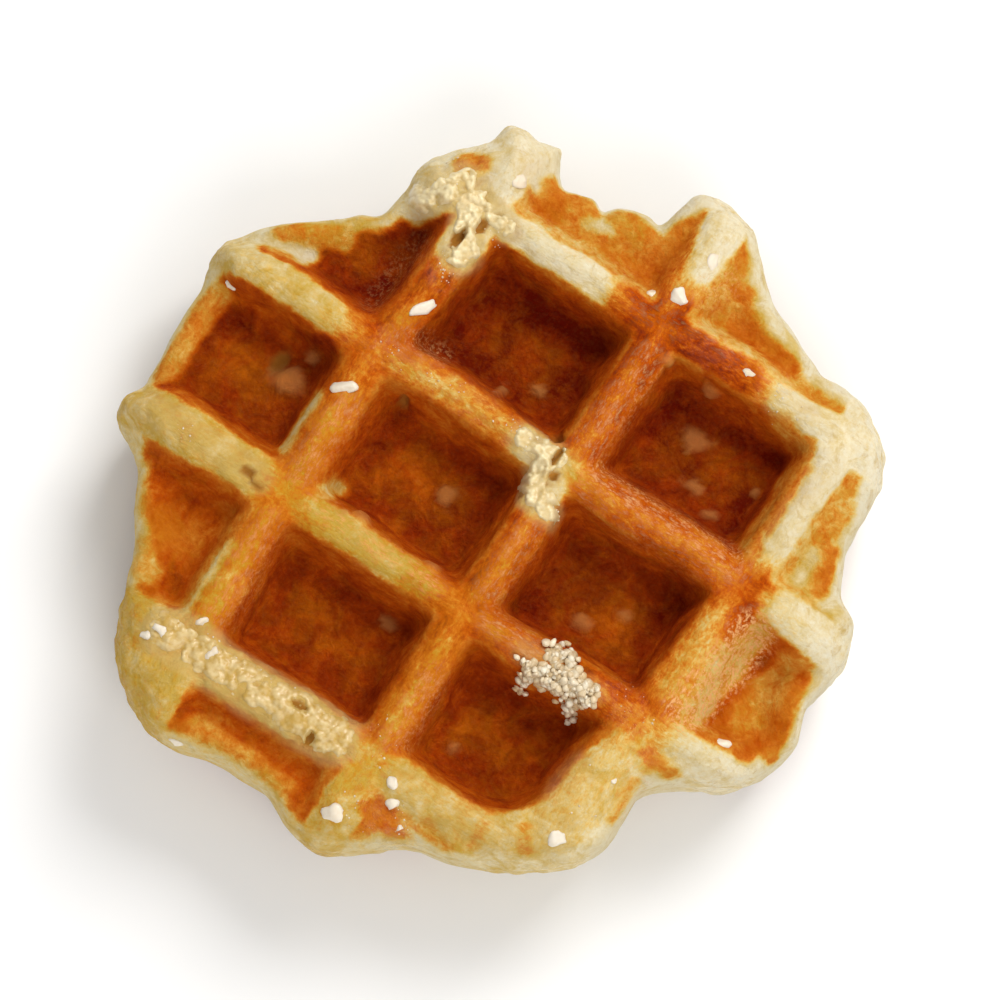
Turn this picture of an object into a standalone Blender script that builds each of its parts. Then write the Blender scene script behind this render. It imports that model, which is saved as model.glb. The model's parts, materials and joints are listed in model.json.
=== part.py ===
"""Liege waffle: one thick slab of sugar dough with a lobed rim and a grid of deep pockets in both faces.

The iron's bars leave the pockets, and the dough between them stands up as ribs. Rows of ribs run
along X and columns of ribs along Y. Where a rib reaches the rim it runs out as a lobe, and where a
pocket reaches the rim only the thin web between the upper and the lower pocket is left.

Metres, +Z up. The waffle rests on its lower ribs at Z = 0, and the origin is under the middle of
its box.
"""

import math

import bmesh
import bpy

MM = 0.001

# The slab
THICKNESS = 27.0 * MM
WEB = 6.0 * MM  # dough between an upper pocket's floor and the lower pocket's
EDGE_ROUNDING = 9.0 * MM  # how far the slab's faces lie inside its widest outline
EDGE_FULLNESS = 2.4  # 2 makes the side a half ellipse, and more makes it squarer
RIM_STEPS = 96
SIDE_LEVELS = (-1.0, -0.94, -0.82, -0.58, 0.0, 0.58, 0.82, 0.94, 1.0)  # shares of half the thickness

# The rim, anticlockwise from +X: (bearing in degrees, radius in millimetres). The tips are the ends
# of ribs, and the dips between them are where a pocket runs out.
RIM = (
    (0, 48.8), (10, 50.4), (18, 47.2), (25, 46.6), (35, 50.8), (43, 52.1), (50, 50.2),
    (56, 46.6), (67, 45.8), (76, 48.4), (84, 51.3), (90, 50.3), (94, 44.0), (104, 42.4),
    (111, 44.2), (114, 49.8), (120, 51.6), (132, 48.2), (143, 43.0), (152, 44.9), (163, 49.3),
    (170, 51.1), (180, 49.2), (190, 49.4), (198, 52.2), (208, 47.9), (218, 48.0), (228, 51.8),
    (240, 55.0), (250, 52.9), (264, 48.6), (273, 51.2), (282, 48.6), (290, 46.4), (308, 48.3),
    (317, 48.0), (330, 42.6), (337, 44.0), (344, 49.0), (353, 50.6),
)

# The grid of ribs
COLUMN_PITCH = 28.6 * MM
ROW_PITCH = 22.7 * MM
CROSSING_X = 4.0 * MM  # column 0
CROSSING_Y = -14.5 * MM  # row 0
RIB_ROOT = 8.5 * MM  # a rib's thickness at the pocket floors
WALL_DRAFT = 2.0 * MM  # how far each wall leans out from its floor to its shoulder
SHOULDER_HEIGHT = 1.6 * MM
SHOULDER_WIDTH = 1.1 * MM

# The pockets: cell (i, j) lies between columns i and i + 1 and rows j and j + 1
COLUMNS_OF_CELLS = range(-2, 2)
ROWS_OF_CELLS = range(-2, 3)
CELLS_OFF_THE_DOUGH = {(-2, -2), (-2, 2), (1, -2), (1, 2)}
POCKET_DEPTH = (THICKNESS - WEB) / 2
FLOOR_FILLET = 1.0 * MM
POCKET_CORNER = 2.2 * MM
CUT_CORNER = 8.0 * MM  # the iron's round border takes off this corner of one pocket
CUT_CORNER_CELL = (0, -1)
CORNER_STEPS = 2
CUTTER_RISE = 2.0 * MM  # how far a cutter stands out of the slab

CRUST_COLOUR = (0.42, 0.13, 0.02, 1.0)
CRUST_ROUGHNESS = 0.42


def clear_scene():
    for thing in list(bpy.data.objects):
        bpy.data.objects.remove(thing)


def new_collection(name):
    made = bpy.data.collections.new(name)
    bpy.context.scene.collection.children.link(made)
    return made


def crust_material():
    material = bpy.data.materials.new("waffle_crust")
    material.use_nodes = True
    shader = material.node_tree.nodes["Principled BSDF"]
    shader.inputs["Base Color"].default_value = CRUST_COLOUR
    shader.inputs["Roughness"].default_value = CRUST_ROUGHNESS
    shader.inputs["Metallic"].default_value = 0.0
    return material


def rim_slope(index):
    """The curve's slope at one rim point, which is level at a tip or a dip so that neither overshoots."""
    before = RIM[index - 1]
    here = RIM[index]
    after = RIM[(index + 1) % len(RIM)]
    rise_in = (here[1] - before[1]) / ((here[0] - before[0]) % 360)
    rise_out = (after[1] - here[1]) / ((after[0] - here[0]) % 360)
    if rise_in * rise_out <= 0:
        return 0.0
    return 2 * rise_in * rise_out / (rise_in + rise_out)


def rim_radius(bearing):
    """Distance from the middle to the widest outline, along a bearing in degrees."""
    index = max(i for i in range(len(RIM)) if RIM[i][0] <= bearing % 360)
    after = (index + 1) % len(RIM)
    span = (RIM[after][0] - RIM[index][0]) % 360
    t = (bearing % 360 - RIM[index][0]) / span
    ends = RIM[index][1] * (1 - t) ** 2 * (1 + 2 * t) + RIM[after][1] * t**2 * (3 - 2 * t)
    slopes = rim_slope(index) * t * (1 - t) ** 2 - rim_slope(after) * t**2 * (1 - t)
    return (ends + span * slopes) * MM


def outline(inset):
    """The rim's points, moved in towards the middle by a distance."""
    points = []
    for step in range(RIM_STEPS):
        bearing = 360 * step / RIM_STEPS
        radius = rim_radius(bearing) - inset
        turn = math.radians(bearing)
        points.append((radius * math.cos(turn), radius * math.sin(turn)))
    return points


def outline_middle():
    """The middle of the widest outline's box."""
    xs, ys = zip(*outline(0.0))
    return (min(xs) + max(xs)) / 2, (min(ys) + max(ys)) / 2


def side_inset(level):
    """How far the side lies inside the widest outline, at a share of half the thickness."""
    kept = max(0.0, 1 - abs(level) ** EDGE_FULLNESS) ** (1 / EDGE_FULLNESS)
    return EDGE_ROUNDING * (1 - kept)


def skin_rings(bm, rings):
    """Joins rings of points, lowest first, into one closed body in the bmesh."""
    loops = []
    edges = []
    for ring in rings:
        loop = [bm.verts.new(point) for point in ring]
        loops.append(loop)
        edges += [bm.edges.new((loop[i - 1], loop[i])) for i in range(len(loop))]
    bmesh.ops.bridge_loops(bm, edges=edges)
    caps = [bm.faces.new(reversed(loops[0])), bm.faces.new(loops[-1])]
    bmesh.ops.triangulate(bm, faces=caps)


def object_from(bm, name, collection):
    bmesh.ops.recalc_face_normals(bm, faces=bm.faces[:])
    mesh = bpy.data.meshes.new(name)
    bm.to_mesh(mesh)
    bm.free()
    made = bpy.data.objects.new(name, mesh)
    collection.objects.link(made)
    return made


def dough_slab(collection):
    """The slab before the iron closes on it: the lobed outline with a full, rounded side."""
    middle_x, middle_y = outline_middle()
    rings = []
    for level in SIDE_LEVELS:
        height = THICKNESS * (1 + level) / 2
        rings.append([(x - middle_x, y - middle_y, height) for x, y in outline(side_inset(level))])
    bm = bmesh.new()
    skin_rings(bm, rings)
    return object_from(bm, "waffle", collection)


def floor_edges(cell):
    """Low and high X and Y of a pocket's floor, in the waffle's own frame."""
    middle_x, middle_y = outline_middle()
    low_x = CROSSING_X - middle_x + cell[0] * COLUMN_PITCH + RIB_ROOT / 2
    low_y = CROSSING_Y - middle_y + cell[1] * ROW_PITCH + RIB_ROOT / 2
    return low_x, low_x + COLUMN_PITCH - RIB_ROOT, low_y, low_y + ROW_PITCH - RIB_ROOT


def pocket_ring(cell, grown, height):
    """A rectangle with rounded corners, grown on all sides from the pocket's floor."""
    low_x, high_x, low_y, high_y = floor_edges(cell)
    cut = CUT_CORNER if cell == CUT_CORNER_CELL else POCKET_CORNER
    corners = (
        (high_x, low_y, -1, 1, cut),
        (high_x, high_y, -1, -1, POCKET_CORNER),
        (low_x, high_y, 1, -1, POCKET_CORNER),
        (low_x, low_y, 1, 1, POCKET_CORNER),
    )
    ring = []
    for quarter, (x, y, inward_x, inward_y, radius) in enumerate(corners):
        centre_x = x + inward_x * (radius - grown)
        centre_y = y + inward_y * (radius - grown)
        for step in range(CORNER_STEPS + 1):
            turn = math.radians(-90 + 90 * quarter + 90 * step / CORNER_STEPS)
            ring.append((centre_x + radius * math.cos(turn), centre_y + radius * math.sin(turn), height))
    return ring


def pocket_profile():
    """(depth below the slab's face, growth) from a pocket's floor up to past its mouth."""
    mouth = WALL_DRAFT + SHOULDER_WIDTH
    return (
        (POCKET_DEPTH, -FLOOR_FILLET),
        (POCKET_DEPTH - FLOOR_FILLET, 0.0),
        (SHOULDER_HEIGHT, WALL_DRAFT),
        (SHOULDER_HEIGHT * 0.35, WALL_DRAFT + SHOULDER_WIDTH * 0.4),
        (0.0, mouth),
        (-CUTTER_RISE, mouth),
    )


def pocket_cutter(collection):
    """All the iron's bars as one cutter: for each cell, one from above and one from below."""
    bm = bmesh.new()
    for i in COLUMNS_OF_CELLS:
        for j in ROWS_OF_CELLS:
            if (i, j) in CELLS_OFF_THE_DOUGH:
                continue
            upper = [pocket_ring((i, j), grown, THICKNESS - depth) for depth, grown in pocket_profile()]
            lower = [pocket_ring((i, j), grown, depth) for depth, grown in reversed(pocket_profile())]
            skin_rings(bm, upper)
            skin_rings(bm, lower)
    cutter = object_from(bm, "iron_bars", collection)
    cutter.hide_render = True
    cutter.display_type = "WIRE"
    return cutter


def press(slab, cutter):
    """Sinks the pockets into both faces of the slab."""
    pressed = slab.modifiers.new("pockets", "BOOLEAN")
    pressed.operation = "DIFFERENCE"
    pressed.solver = "EXACT"
    pressed.object = cutter


def main():
    clear_scene()
    parts = new_collection("liege_waffle")
    cutters = new_collection("cutters")
    waffle = dough_slab(parts)
    waffle.data.materials.append(crust_material())
    press(waffle, pocket_cutter(cutters))
    waffle.data.shade_smooth()
    waffle.data.set_sharp_from_angle(angle=math.radians(40))


main()
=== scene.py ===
# %% [markdown]
# # A sugar waffle, straight from the iron
#
# The real thing is a lump of yeast dough full of pearl sugar, pressed between two hot plates that
# carry rows of square-ended bars. The bars leave pockets in both faces, the dough wells up between
# them as ribs, and it runs out unevenly at the rim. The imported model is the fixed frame: a plain
# solid of the right size. Everything here is built around it and rides on it.

# %% Load the frame
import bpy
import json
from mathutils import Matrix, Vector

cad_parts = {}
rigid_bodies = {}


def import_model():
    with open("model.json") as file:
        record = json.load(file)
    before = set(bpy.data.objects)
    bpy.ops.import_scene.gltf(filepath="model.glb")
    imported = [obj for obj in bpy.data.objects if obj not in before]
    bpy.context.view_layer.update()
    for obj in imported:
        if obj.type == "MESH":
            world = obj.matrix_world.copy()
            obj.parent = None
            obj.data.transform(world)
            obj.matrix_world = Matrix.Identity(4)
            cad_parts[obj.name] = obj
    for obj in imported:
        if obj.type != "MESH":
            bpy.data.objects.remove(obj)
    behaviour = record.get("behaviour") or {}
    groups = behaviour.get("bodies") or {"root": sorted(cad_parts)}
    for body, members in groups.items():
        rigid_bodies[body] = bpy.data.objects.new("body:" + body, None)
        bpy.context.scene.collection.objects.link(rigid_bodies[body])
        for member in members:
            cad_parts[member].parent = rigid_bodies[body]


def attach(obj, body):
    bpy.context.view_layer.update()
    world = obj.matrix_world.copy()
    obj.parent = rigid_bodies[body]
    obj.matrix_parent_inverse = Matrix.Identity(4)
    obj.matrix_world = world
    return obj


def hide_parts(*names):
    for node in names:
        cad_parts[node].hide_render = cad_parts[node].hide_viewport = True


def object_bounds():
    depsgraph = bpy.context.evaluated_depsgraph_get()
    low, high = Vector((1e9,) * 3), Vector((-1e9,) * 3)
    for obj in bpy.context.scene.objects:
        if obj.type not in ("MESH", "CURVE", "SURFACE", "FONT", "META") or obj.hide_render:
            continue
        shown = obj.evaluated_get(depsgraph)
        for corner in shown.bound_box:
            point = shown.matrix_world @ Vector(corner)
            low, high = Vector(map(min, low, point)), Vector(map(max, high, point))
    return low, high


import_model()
cad_low, cad_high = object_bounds()
print("frame box in metres:", [round(v, 4) for v in (*cad_low, *cad_high)])

# %% Modules
import json
import math

import bmesh
import bpy
import numpy as np
from mathutils import Vector
from mathutils.bvhtree import BVHTree

MM = 0.001  # the shapes below are worked out in millimetres
FACE_Z = cad_high.z / MM  # height of the upper ribs
MIDDLE_Z = FACE_Z / 2
print("thickness in millimetres:", round(FACE_Z, 2))

# %% [markdown]
# ## The rim
#
# Free dough has no mould at the rim, so the outline is uneven: a lobe at each rib's end and a dip
# where a pocket runs out. A short list of bearings and radii gives it, joined by a curve that is
# level at each tip and dip, so that it never overshoots. A listed outline suits a shape with no
# rule behind it better than noise does.

# %% The outline of the rim
RIM = (  # (bearing in degrees, radius in millimetres), anticlockwise from +X
    (1, 48.8), (6, 50.0), (10, 50.4), (15, 49.8), (19, 47.1), (25, 46.7), (30, 48.0), (36, 50.8),
    (42, 52.1), (48, 51.2), (52, 49.4), (56, 46.7), (62, 46.2), (68, 45.9), (73, 46.8), (77, 48.8),
    (81, 51.0), (86, 51.3), (90, 50.4), (91.6, 48.4), (93.5, 43.7), (96, 44.2), (101, 43.5),
    (103.5, 42.2), (106, 43.8), (111, 43.8), (112.4, 45.4), (113.2, 49.4), (116.5, 49.7),
    (118.5, 51.2), (121, 51.7), (124, 49.5), (130, 48.4), (134, 47.9), (140, 44.3), (144.5, 42.7),
    (148, 43.9), (152, 44.8), (158, 47.2), (164, 49.4), (170, 51.1), (177, 49.3), (187, 49.3),
    (193, 49.8), (196.5, 51.9), (199, 52.2), (203, 49.6), (208, 47.8), (217, 47.9), (225, 50.3),
    (231, 52.7), (236, 54.4), (241, 55.0), (246, 54.6), (250, 52.8), (253, 51.0), (257, 49.5),
    (264, 48.5), (270, 50.3), (274.5, 51.2), (280, 49.5), (289, 46.2), (297, 47.1), (306, 47.9),
    (314, 48.4), (320, 47.4), (325, 44.6), (330, 42.5), (336, 43.7), (343, 48.1), (349, 50.1),
    (354, 50.6),
)
RIM_SAMPLES = 720


def rim_curve():
    """Radius at evenly spaced bearings over a full turn, in millimetres."""
    bearings = np.array([b for b, _ in RIM], float)
    radii = np.array([r for _, r in RIM], float)
    gaps = np.diff(np.append(bearings, bearings[0] + 360))
    rises = np.diff(np.append(radii, radii[0])) / gaps
    rise_in = np.roll(rises, 1)
    same_way = rises * rise_in > 0
    slopes = np.where(same_way, 2 * rises * rise_in / np.where(same_way, rises + rise_in, 1), 0)
    wanted = np.arange(RIM_SAMPLES) * 360 / RIM_SAMPLES
    index = (np.searchsorted(bearings, wanted, side="right") - 1) % len(RIM)
    after = (index + 1) % len(RIM)
    t = ((wanted - bearings[index]) % 360) / gaps[index]
    ends = radii[index] * (1 - t) ** 2 * (1 + 2 * t) + radii[after] * t**2 * (3 - 2 * t)
    bends = slopes[index] * t * (1 - t) ** 2 - slopes[after] * t**2 * (1 - t)
    return ends + gaps[index] * bends


RIM_RADIUS = rim_curve()
print("rim radius from", round(RIM_RADIUS.min(), 1), "to", round(RIM_RADIUS.max(), 1), "mm")

# %% [markdown]
# How far a place lies inside the rim steers nearly everything that follows. It is worked out once,
# on a fine plan grid, as the distance to the nearest stretch of the outline, and read off between
# the grid's points.

# %% Distance to the rim
PLAN_STEP = 0.5  # mm between the plan grid's points
PLAN_HALF = 60.0  # mm from the middle to the plan grid's edge


def rim_distances():
    """Distance outside the outline, negative inside, at the points of a square plan grid."""
    turns = np.radians(np.arange(RIM_SAMPLES) * 360 / RIM_SAMPLES)
    corner = np.stack([RIM_RADIUS * np.cos(turns), RIM_RADIUS * np.sin(turns)], axis=-1)
    run = np.roll(corner, -1, axis=0) - corner
    square = (run**2).sum(axis=1)
    steps = np.arange(-PLAN_HALF, PLAN_HALF + PLAN_STEP / 2, PLAN_STEP)
    distances = np.empty((len(steps), len(steps)))
    for row, x in enumerate(steps):
        off_x = x - corner[:, 0][None, :]
        off_y = steps[:, None] - corner[:, 1][None, :]
        part = np.clip((off_x * run[:, 0] + off_y * run[:, 1]) / square, 0, 1)
        away = np.hypot(off_x - part * run[:, 0], off_y - part * run[:, 1]).min(axis=1)
        turn = np.arctan2(steps, x) / (2 * math.pi) * RIM_SAMPLES % RIM_SAMPLES
        radius = np.interp(turn, np.arange(RIM_SAMPLES + 1), np.append(RIM_RADIUS, RIM_RADIUS[0]))
        distances[row] = np.where(np.hypot(x, steps) < radius, -away, away)
    return distances


RIM_DISTANCES = rim_distances()


def beyond_rim(x, y):
    """Distance outside the widest outline, negative inside, in millimetres."""
    place_x = np.clip((x + PLAN_HALF) / PLAN_STEP, 0, len(RIM_DISTANCES) - 1.001)
    place_y = np.clip((y + PLAN_HALF) / PLAN_STEP, 0, len(RIM_DISTANCES) - 1.001)
    ix, iy = place_x.astype(int), place_y.astype(int)
    fx, fy = place_x - ix, place_y - iy
    near = RIM_DISTANCES[ix, iy] * (1 - fy) + RIM_DISTANCES[ix, iy + 1] * fy
    far = RIM_DISTANCES[ix + 1, iy] * (1 - fy) + RIM_DISTANCES[ix + 1, iy + 1] * fy
    return near * (1 - fx) + far * fx


print("the origin lies", round(float(-beyond_rim(np.zeros(1), np.zeros(1))[0]), 1), "mm inside the rim")

# %% [markdown]
# ## Noise to make dough from
#
# Dough is uneven at every size. Two tools give that unevenness: a value noise, whose numbers come
# from a hash of the place, and a smooth maximum, which rounds the corner where two shapes meet.
# Both are plain functions of the place, so the same waffle comes out on every run.

# %% Value noise and smooth corners
def hashed(ix, iy, iz, seed):
    """A number from 0 to 1 for each lattice point, always the same for the same point."""
    mixed = ix * 73856093 ^ iy * 19349663 ^ iz * 83492791 ^ (seed * 2654435761)
    mixed = (mixed ^ (mixed >> 13)) * 1274126177 & 0xFFFFFFFF
    mixed = (mixed ^ (mixed >> 16)) * 2246822519 & 0xFFFFFFFF
    return ((mixed ^ (mixed >> 15)) & 0xFFFFFF) / float(0xFFFFFF)


def value_noise(x, y, z, size, seed):
    """Smooth noise from -1 to 1 whose lumps are about size millimetres across."""
    places = []
    for along in (x, y, z):
        scaled = np.asarray(along, float) / size + 1000.0
        cell = np.floor(scaled)
        part = scaled - cell
        places.append((cell.astype(np.int64), part * part * (3 - 2 * part)))
    (ix, fx), (iy, fy), (iz, fz) = places
    total = 0.0
    for dx in (0, 1):
        for dy in (0, 1):
            for dz in (0, 1):
                weight = (fx if dx else 1 - fx) * (fy if dy else 1 - fy) * (fz if dz else 1 - fz)
                total = total + weight * hashed(ix + dx, iy + dy, iz + dz, seed)
    return 2 * total - 1


def layered_noise(x, y, z, size, seed, layers=3):
    """Value noise at several sizes, each half the last and half as strong."""
    total = 0.0
    for layer in range(layers):
        total = total + value_noise(x, y, z, size / 2**layer, seed + layer) / 2**layer
    return total / (2 - 2 ** (1 - layers))


def smooth_max(a, b, width):
    """The larger of a and b, with the corner between them rounded over a width."""
    near = np.maximum(width - np.abs(a - b), 0) / width
    return np.maximum(a, b) + near * near * width / 4


def smoothstep(low, high, value):
    t = np.clip((value - low) / (high - low), 0, 1)
    return t * t * (3 - 2 * t)


print("noise check:", np.round(value_noise(*np.array([[1.5], [2.5], [3.5]]), 1.0, 7), 4))

# %% [markdown]
# ## The grid of ribs and pockets
#
# The iron's bars stand in straight rows and columns, but soft dough gives as the plates open, so
# each rib wanders a little from its line. The grid is folded into one cell, which makes every
# pocket at once. The wander is a few shifts along each rib, blended between neighbouring ribs.

# %% The iron's grid
COLUMN_PITCH = 28.6  # mm between columns of ribs, which run along Y
ROW_PITCH = 22.7  # mm between rows of ribs, which run along X
COLUMN_0_X = 4.1
ROW_0_Y = -14.5
RIB_HALF = 2.2  # a rib's half width where no table says
GRID_PUSH = 0.35  # how far soft dough slid from the straight grid
WALL_RUN = 2.1  # how far a plain wall leans out from its floor to its mouth
COLUMN_WANDER = {  # column: (y, shift in x) along it
    -2: ((0, 0.0),),
    -1: ((-50, 1.6), (-37, 1.2), (-25, 0.7), (-12, 0.6), (0, 0.2), (9, 0.2), (17, 1.2), (28, 1.8),
         (42, 1.4)),
    0: ((-50, 0.9), (-36, 0.4), (-24, 0.4), (-14, 0.4), (-5, 0.9), (7, 0.6), (14, 1.8), (28, 1.4),
        (33, 0.6), (48, 1.0)),
    1: ((-34, -1.6), (-22, -1.4), (-11, -0.5), (0, -0.4), (8, 0.6), (18, 1.0), (30, 1.3)),
    2: ((0, 0.0),),
}
ROW_WANDER = {  # row: (x, shift in y) along it
    -2: ((0, 0.0),),
    -1: ((-30, -1.2), (-18, -0.9), (-6, -0.4), (5, -0.2), (16, -0.6), (28, -0.5)),
    0: ((-48, 0.0), (-32, 0.3), (-14, 0.3), (3, 0.0), (12, 0.2), (20, 0.9), (31, 0.9), (46, 0.2)),
    1: ((-48, 1.0), (-34, 1.1), (-24, 0.4), (-12, 0.9), (3, 0.2), (19, 0.7), (34, 0.4), (48, 0.0)),
    2: ((-31, 0.0), (-22, 0.8), (-10, 1.0), (3, 0.9), (17, 1.4), (30, 1.4)),
    3: ((0, 0.8),),
}
COLUMN_HALF = {  # column: (y, half its width between the mouths of its pockets) along it
    -1: ((-38, 2.6), (-26, 2.1), (0, 2.1), (20, 2.1), (26, 2.5), (40, 3.0)),
    0: ((-44, 3.0), (-34, 2.1), (0, 2.1), (34, 2.2), (44, 3.0)),
    1: ((-34, 4.2), (-22, 3.6), (-13, 2.4), (12, 2.1), (30, 2.4)),
}
ROW_HALF = {  # row: (x, half its width) along it
    -1: ((-30, 3.0), (-4, 3.0), (4, 2.4), (10, 2.8), (28, 3.0)),
    0: ((-48, 3.0), (-27, 2.7), (-20, 2.1), (34, 2.1), (44, 2.8)),
    1: ((-48, 2.4), (-30, 2.1), (36, 2.1), (46, 2.8)),
    2: ((-32, 2.8), (-20, 2.0), (26, 2.0), (34, 2.6)),
}


def wander(across, along, first, pitch, table):
    """The shift of the ribs near each place, blended between the two nearest ribs."""
    place = (across - first) / pitch
    lowest, highest = min(table), max(table)
    low = np.clip(np.floor(place).astype(int), lowest, highest - 1)
    part = smoothstep(0, 1, np.clip(place - low, 0, 1))
    shifts = {rib: np.interp(along, *zip(*stops)) for rib, stops in table.items()}
    below = np.select([low == rib for rib in shifts], list(shifts.values()))
    above = np.select([low + 1 == rib for rib in shifts], list(shifts.values()))
    return below * (1 - part) + above * part


def rib_half(rib, along, table):
    """Half the width of each place's rib, given the rib's number and how far along it the place is."""
    half = np.full(np.shape(along), RIB_HALF)
    for number, stops in table.items():
        half = np.where(rib == number, np.interp(along, *zip(*stops)), half)
    return half


def grid_place(x, y, seed):
    """The place on the iron's straight grid, in cells, that the dough here was pressed against."""
    push = GRID_PUSH * value_noise(x, y, 0, 9, seed)
    slide = GRID_PUSH * value_noise(x, y, 0, 8, seed + 1)
    straight_x = x - wander(x, y, COLUMN_0_X, COLUMN_PITCH, COLUMN_WANDER) + push
    straight_y = y - wander(y, x, ROW_0_Y, ROW_PITCH, ROW_WANDER) + slide
    return (straight_x - COLUMN_0_X) / COLUMN_PITCH, (straight_y - ROW_0_Y) / ROW_PITCH


print("cell pitch in mm:", COLUMN_PITCH, "by", ROW_PITCH)

# %% [markdown]
# Each pocket's floor sits in its cell in its own way: a wall leans further where the dough dragged
# on the bar, and pockets at the rim are shallow because there was too little dough to fill them.
# A short table says so, one line for each pocket.

# %% The pockets
UPPER_POCKETS = {  # (column, row): (depth, then how far in each floor edge lies: left, right, front, back)
    (-2, 1): (9.5, 4.0, 1.0, 0.8, 0.6),
    (-1, 1): (10.5, 0.8, 1.4, 0.2, 0.6),
    (0, 1): (10.5, 1.2, 1.6, 0.6, 1.4),
    (1, 1): (4.6, 0.6, 0.0, 2.0, 0.5),
    (-2, 0): (9.5, 0.0, 1.6, 0.4, 0.2),
    (-1, 0): (10.2, 1.4, 1.0, 0.6, 0.4),
    (0, 0): (10.5, 1.0, 0.8, 0.2, 0.2),
    (1, 0): (8.0, 4.2, 0.0, 1.6, 0.6),
    (-2, -1): (7.0, 0.0, 1.8, 0.0, 0.8),
    (-1, -1): (10.2, 0.6, 1.2, 0.2, 0.8),
    (0, -1): (10.5, 1.0, 2.4, 0.4, 0.6),
    (1, -1): (2.6, 0.0, 0.0, 0.0, 0.5),
    (-1, 2): (5.6, 0.0, 0.0, 0.4, 0.0),
    (0, 2): (6.0, 3.2, 0.0, 0.8, 0.0),
    (-1, -2): (5.2, 1.0, 1.0, 0.0, 0.4),
    (0, -2): (2.4, 0.0, 0.0, 0.0, 1.4),
}
WHOLE_CELLS = ((-1, 0), (-1, 1), (0, 0), (0, 1), (-1, -1), (0, -1))  # clear of the rim
WHOLE_DEPTH = 10.4
CUT_OFF_DEPTH = 6.5  # where a pocket runs out at the rim
LOWER_POCKETS = {
    cell: (WHOLE_DEPTH if cell in WHOLE_CELLS else CUT_OFF_DEPTH, 0.4, 0.4, 0.3, 0.3)
    for cell in UPPER_POCKETS
}
CUT_CELL = (0, -1)  # the iron's round border takes off this pocket's outer corner
CUT_AT = (26.4, -30.4)  # a point on that slanting border
NO_CUT = -99.0  # mm, far inside every pocket


def pocket_numbers(column, row, pockets):
    """Five arrays for the pocket each place lies in: its depth and its four floor edges."""
    cell_i, cell_j = np.floor(column).astype(int), np.floor(row).astype(int)
    table = np.zeros((6, 7, 5))
    for (i, j), numbers in pockets.items():
        table[i + 3, j + 3] = numbers
    chosen = table[np.clip(cell_i + 3, 0, 5), np.clip(cell_j + 3, 0, 6)]
    return np.moveaxis(chosen, -1, 0)


class Plan:
    """What the grid says about each place in plan, for one face."""

    def __init__(self, x, y, seed, pockets):
        column, row = grid_place(x, y, seed)
        self.depth, left, right, front, back = pocket_numbers(column, row, pockets)
        i, j = np.floor(column), np.floor(row)
        u = (column - i - 0.5) * COLUMN_PITCH
        v = (row - j - 0.5) * ROW_PITCH
        self.walls = [
            (-u - COLUMN_PITCH / 2 + rib_half(i, y, COLUMN_HALF), WALL_RUN + left),
            (u - COLUMN_PITCH / 2 + rib_half(i + 1, y, COLUMN_HALF), WALL_RUN + right),
            (-v - ROW_PITCH / 2 + rib_half(j, x, ROW_HALF), WALL_RUN + front),
            (v - ROW_PITCH / 2 + rib_half(j + 1, x, ROW_HALF), WALL_RUN + back),
        ]
        in_cut = (i == CUT_CELL[0]) & (j == CUT_CELL[1])
        corner = ((x - CUT_AT[0]) - (y - CUT_AT[1])) / math.sqrt(2)
        self.cut = np.where(in_cut, corner, NO_CUT)
        self.inward = -beyond_rim(x, y)
        self.from_column = np.abs(column - np.round(column)) * COLUMN_PITCH
        self.from_row = np.abs(row - np.round(row)) * ROW_PITCH
        self.column, self.row = column, row
        rise = 3.4 + 1.4 * value_noise(x, y, 0, 9, seed + 3)
        self.rise = rise * smoothstep(6.5, 0.5, self.inward)
        self.swell = 0.30 * value_noise(x, y, 0, 13, seed + 5)
        self.swell = self.swell + 0.22 * value_noise(x, y, 0, 4.5, seed + 6)
        crossing = np.exp(-(self.from_column**2 + self.from_row**2) / 3.6**2)
        high = 0.5 + 0.5 * value_noise(x, y, 0, 10, seed + 8)
        on_rib = smoothstep(6.5, 3.0, np.minimum(self.from_column, self.from_row))
        self.drop = 0.9 * crossing + 0.8 * high * on_rib

    def beyond_mouth(self):
        """Distance outside the pocket's mouth in plan, negative over the pocket."""
        (left, _), (right, _), (front, _), (back, _) = self.walls
        across = np.maximum(np.maximum(left, right), np.maximum(front, back))
        return np.where(self.depth > 0, np.maximum(across, self.cut), 4.0)

    def edge_brown_and_shade(self, ragged):
        """1 on the part of a floor next to its walls: browning with painted shade, strongest beside the
        back wall, which is nearest the light and casts its shadow there.
        """
        weights = (0.6, 0.6, 0.4, 0.85)  # left, right, front, back
        near = [w * smoothstep(-7.5, -4.0, edge + ragged) for w, (edge, _) in zip(weights, self.walls)]
        return np.max(near, axis=0)


print("pockets in the upper face:", len(UPPER_POCKETS))

# %% [markdown]
# ## The body of the waffle as a field
#
# The body is a field: a function of the place that is negative in dough and positive in air. Fields
# round and blend in a way that cutting a mesh with bars doesn't: a smooth maximum of the slab and
# the pockets gives soft rib tops, and filleted floors come from the same call. The same field gives
# the distance to every feature, and the colours read it later.

# %% The field
EDGE_ROUNDING = 9.5  # how far the faces lie inside the widest outline
EDGE_FULLNESS = 2.3  # 2 makes the side a half ellipse, and more makes it squarer
RIB_ROUNDING = 2.6
RIM_ROUNDING = 5.0  # shoulders are softer where free dough wells up
FLOOR_FILLET = 2.2
CORNER_ROUNDING = 1.6
CUT_ROUNDING = 2.0
SHOULDER = 0.7  # how far a mouth widens just under the face
FACES = ((1, 11, UPPER_POCKETS), (-1, 57, LOWER_POCKETS))  # (side of the slab, seed, pockets)


def face_plans(x, y):
    return [Plan(x, y, seed, pockets) for _, seed, pockets in FACES]


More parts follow.
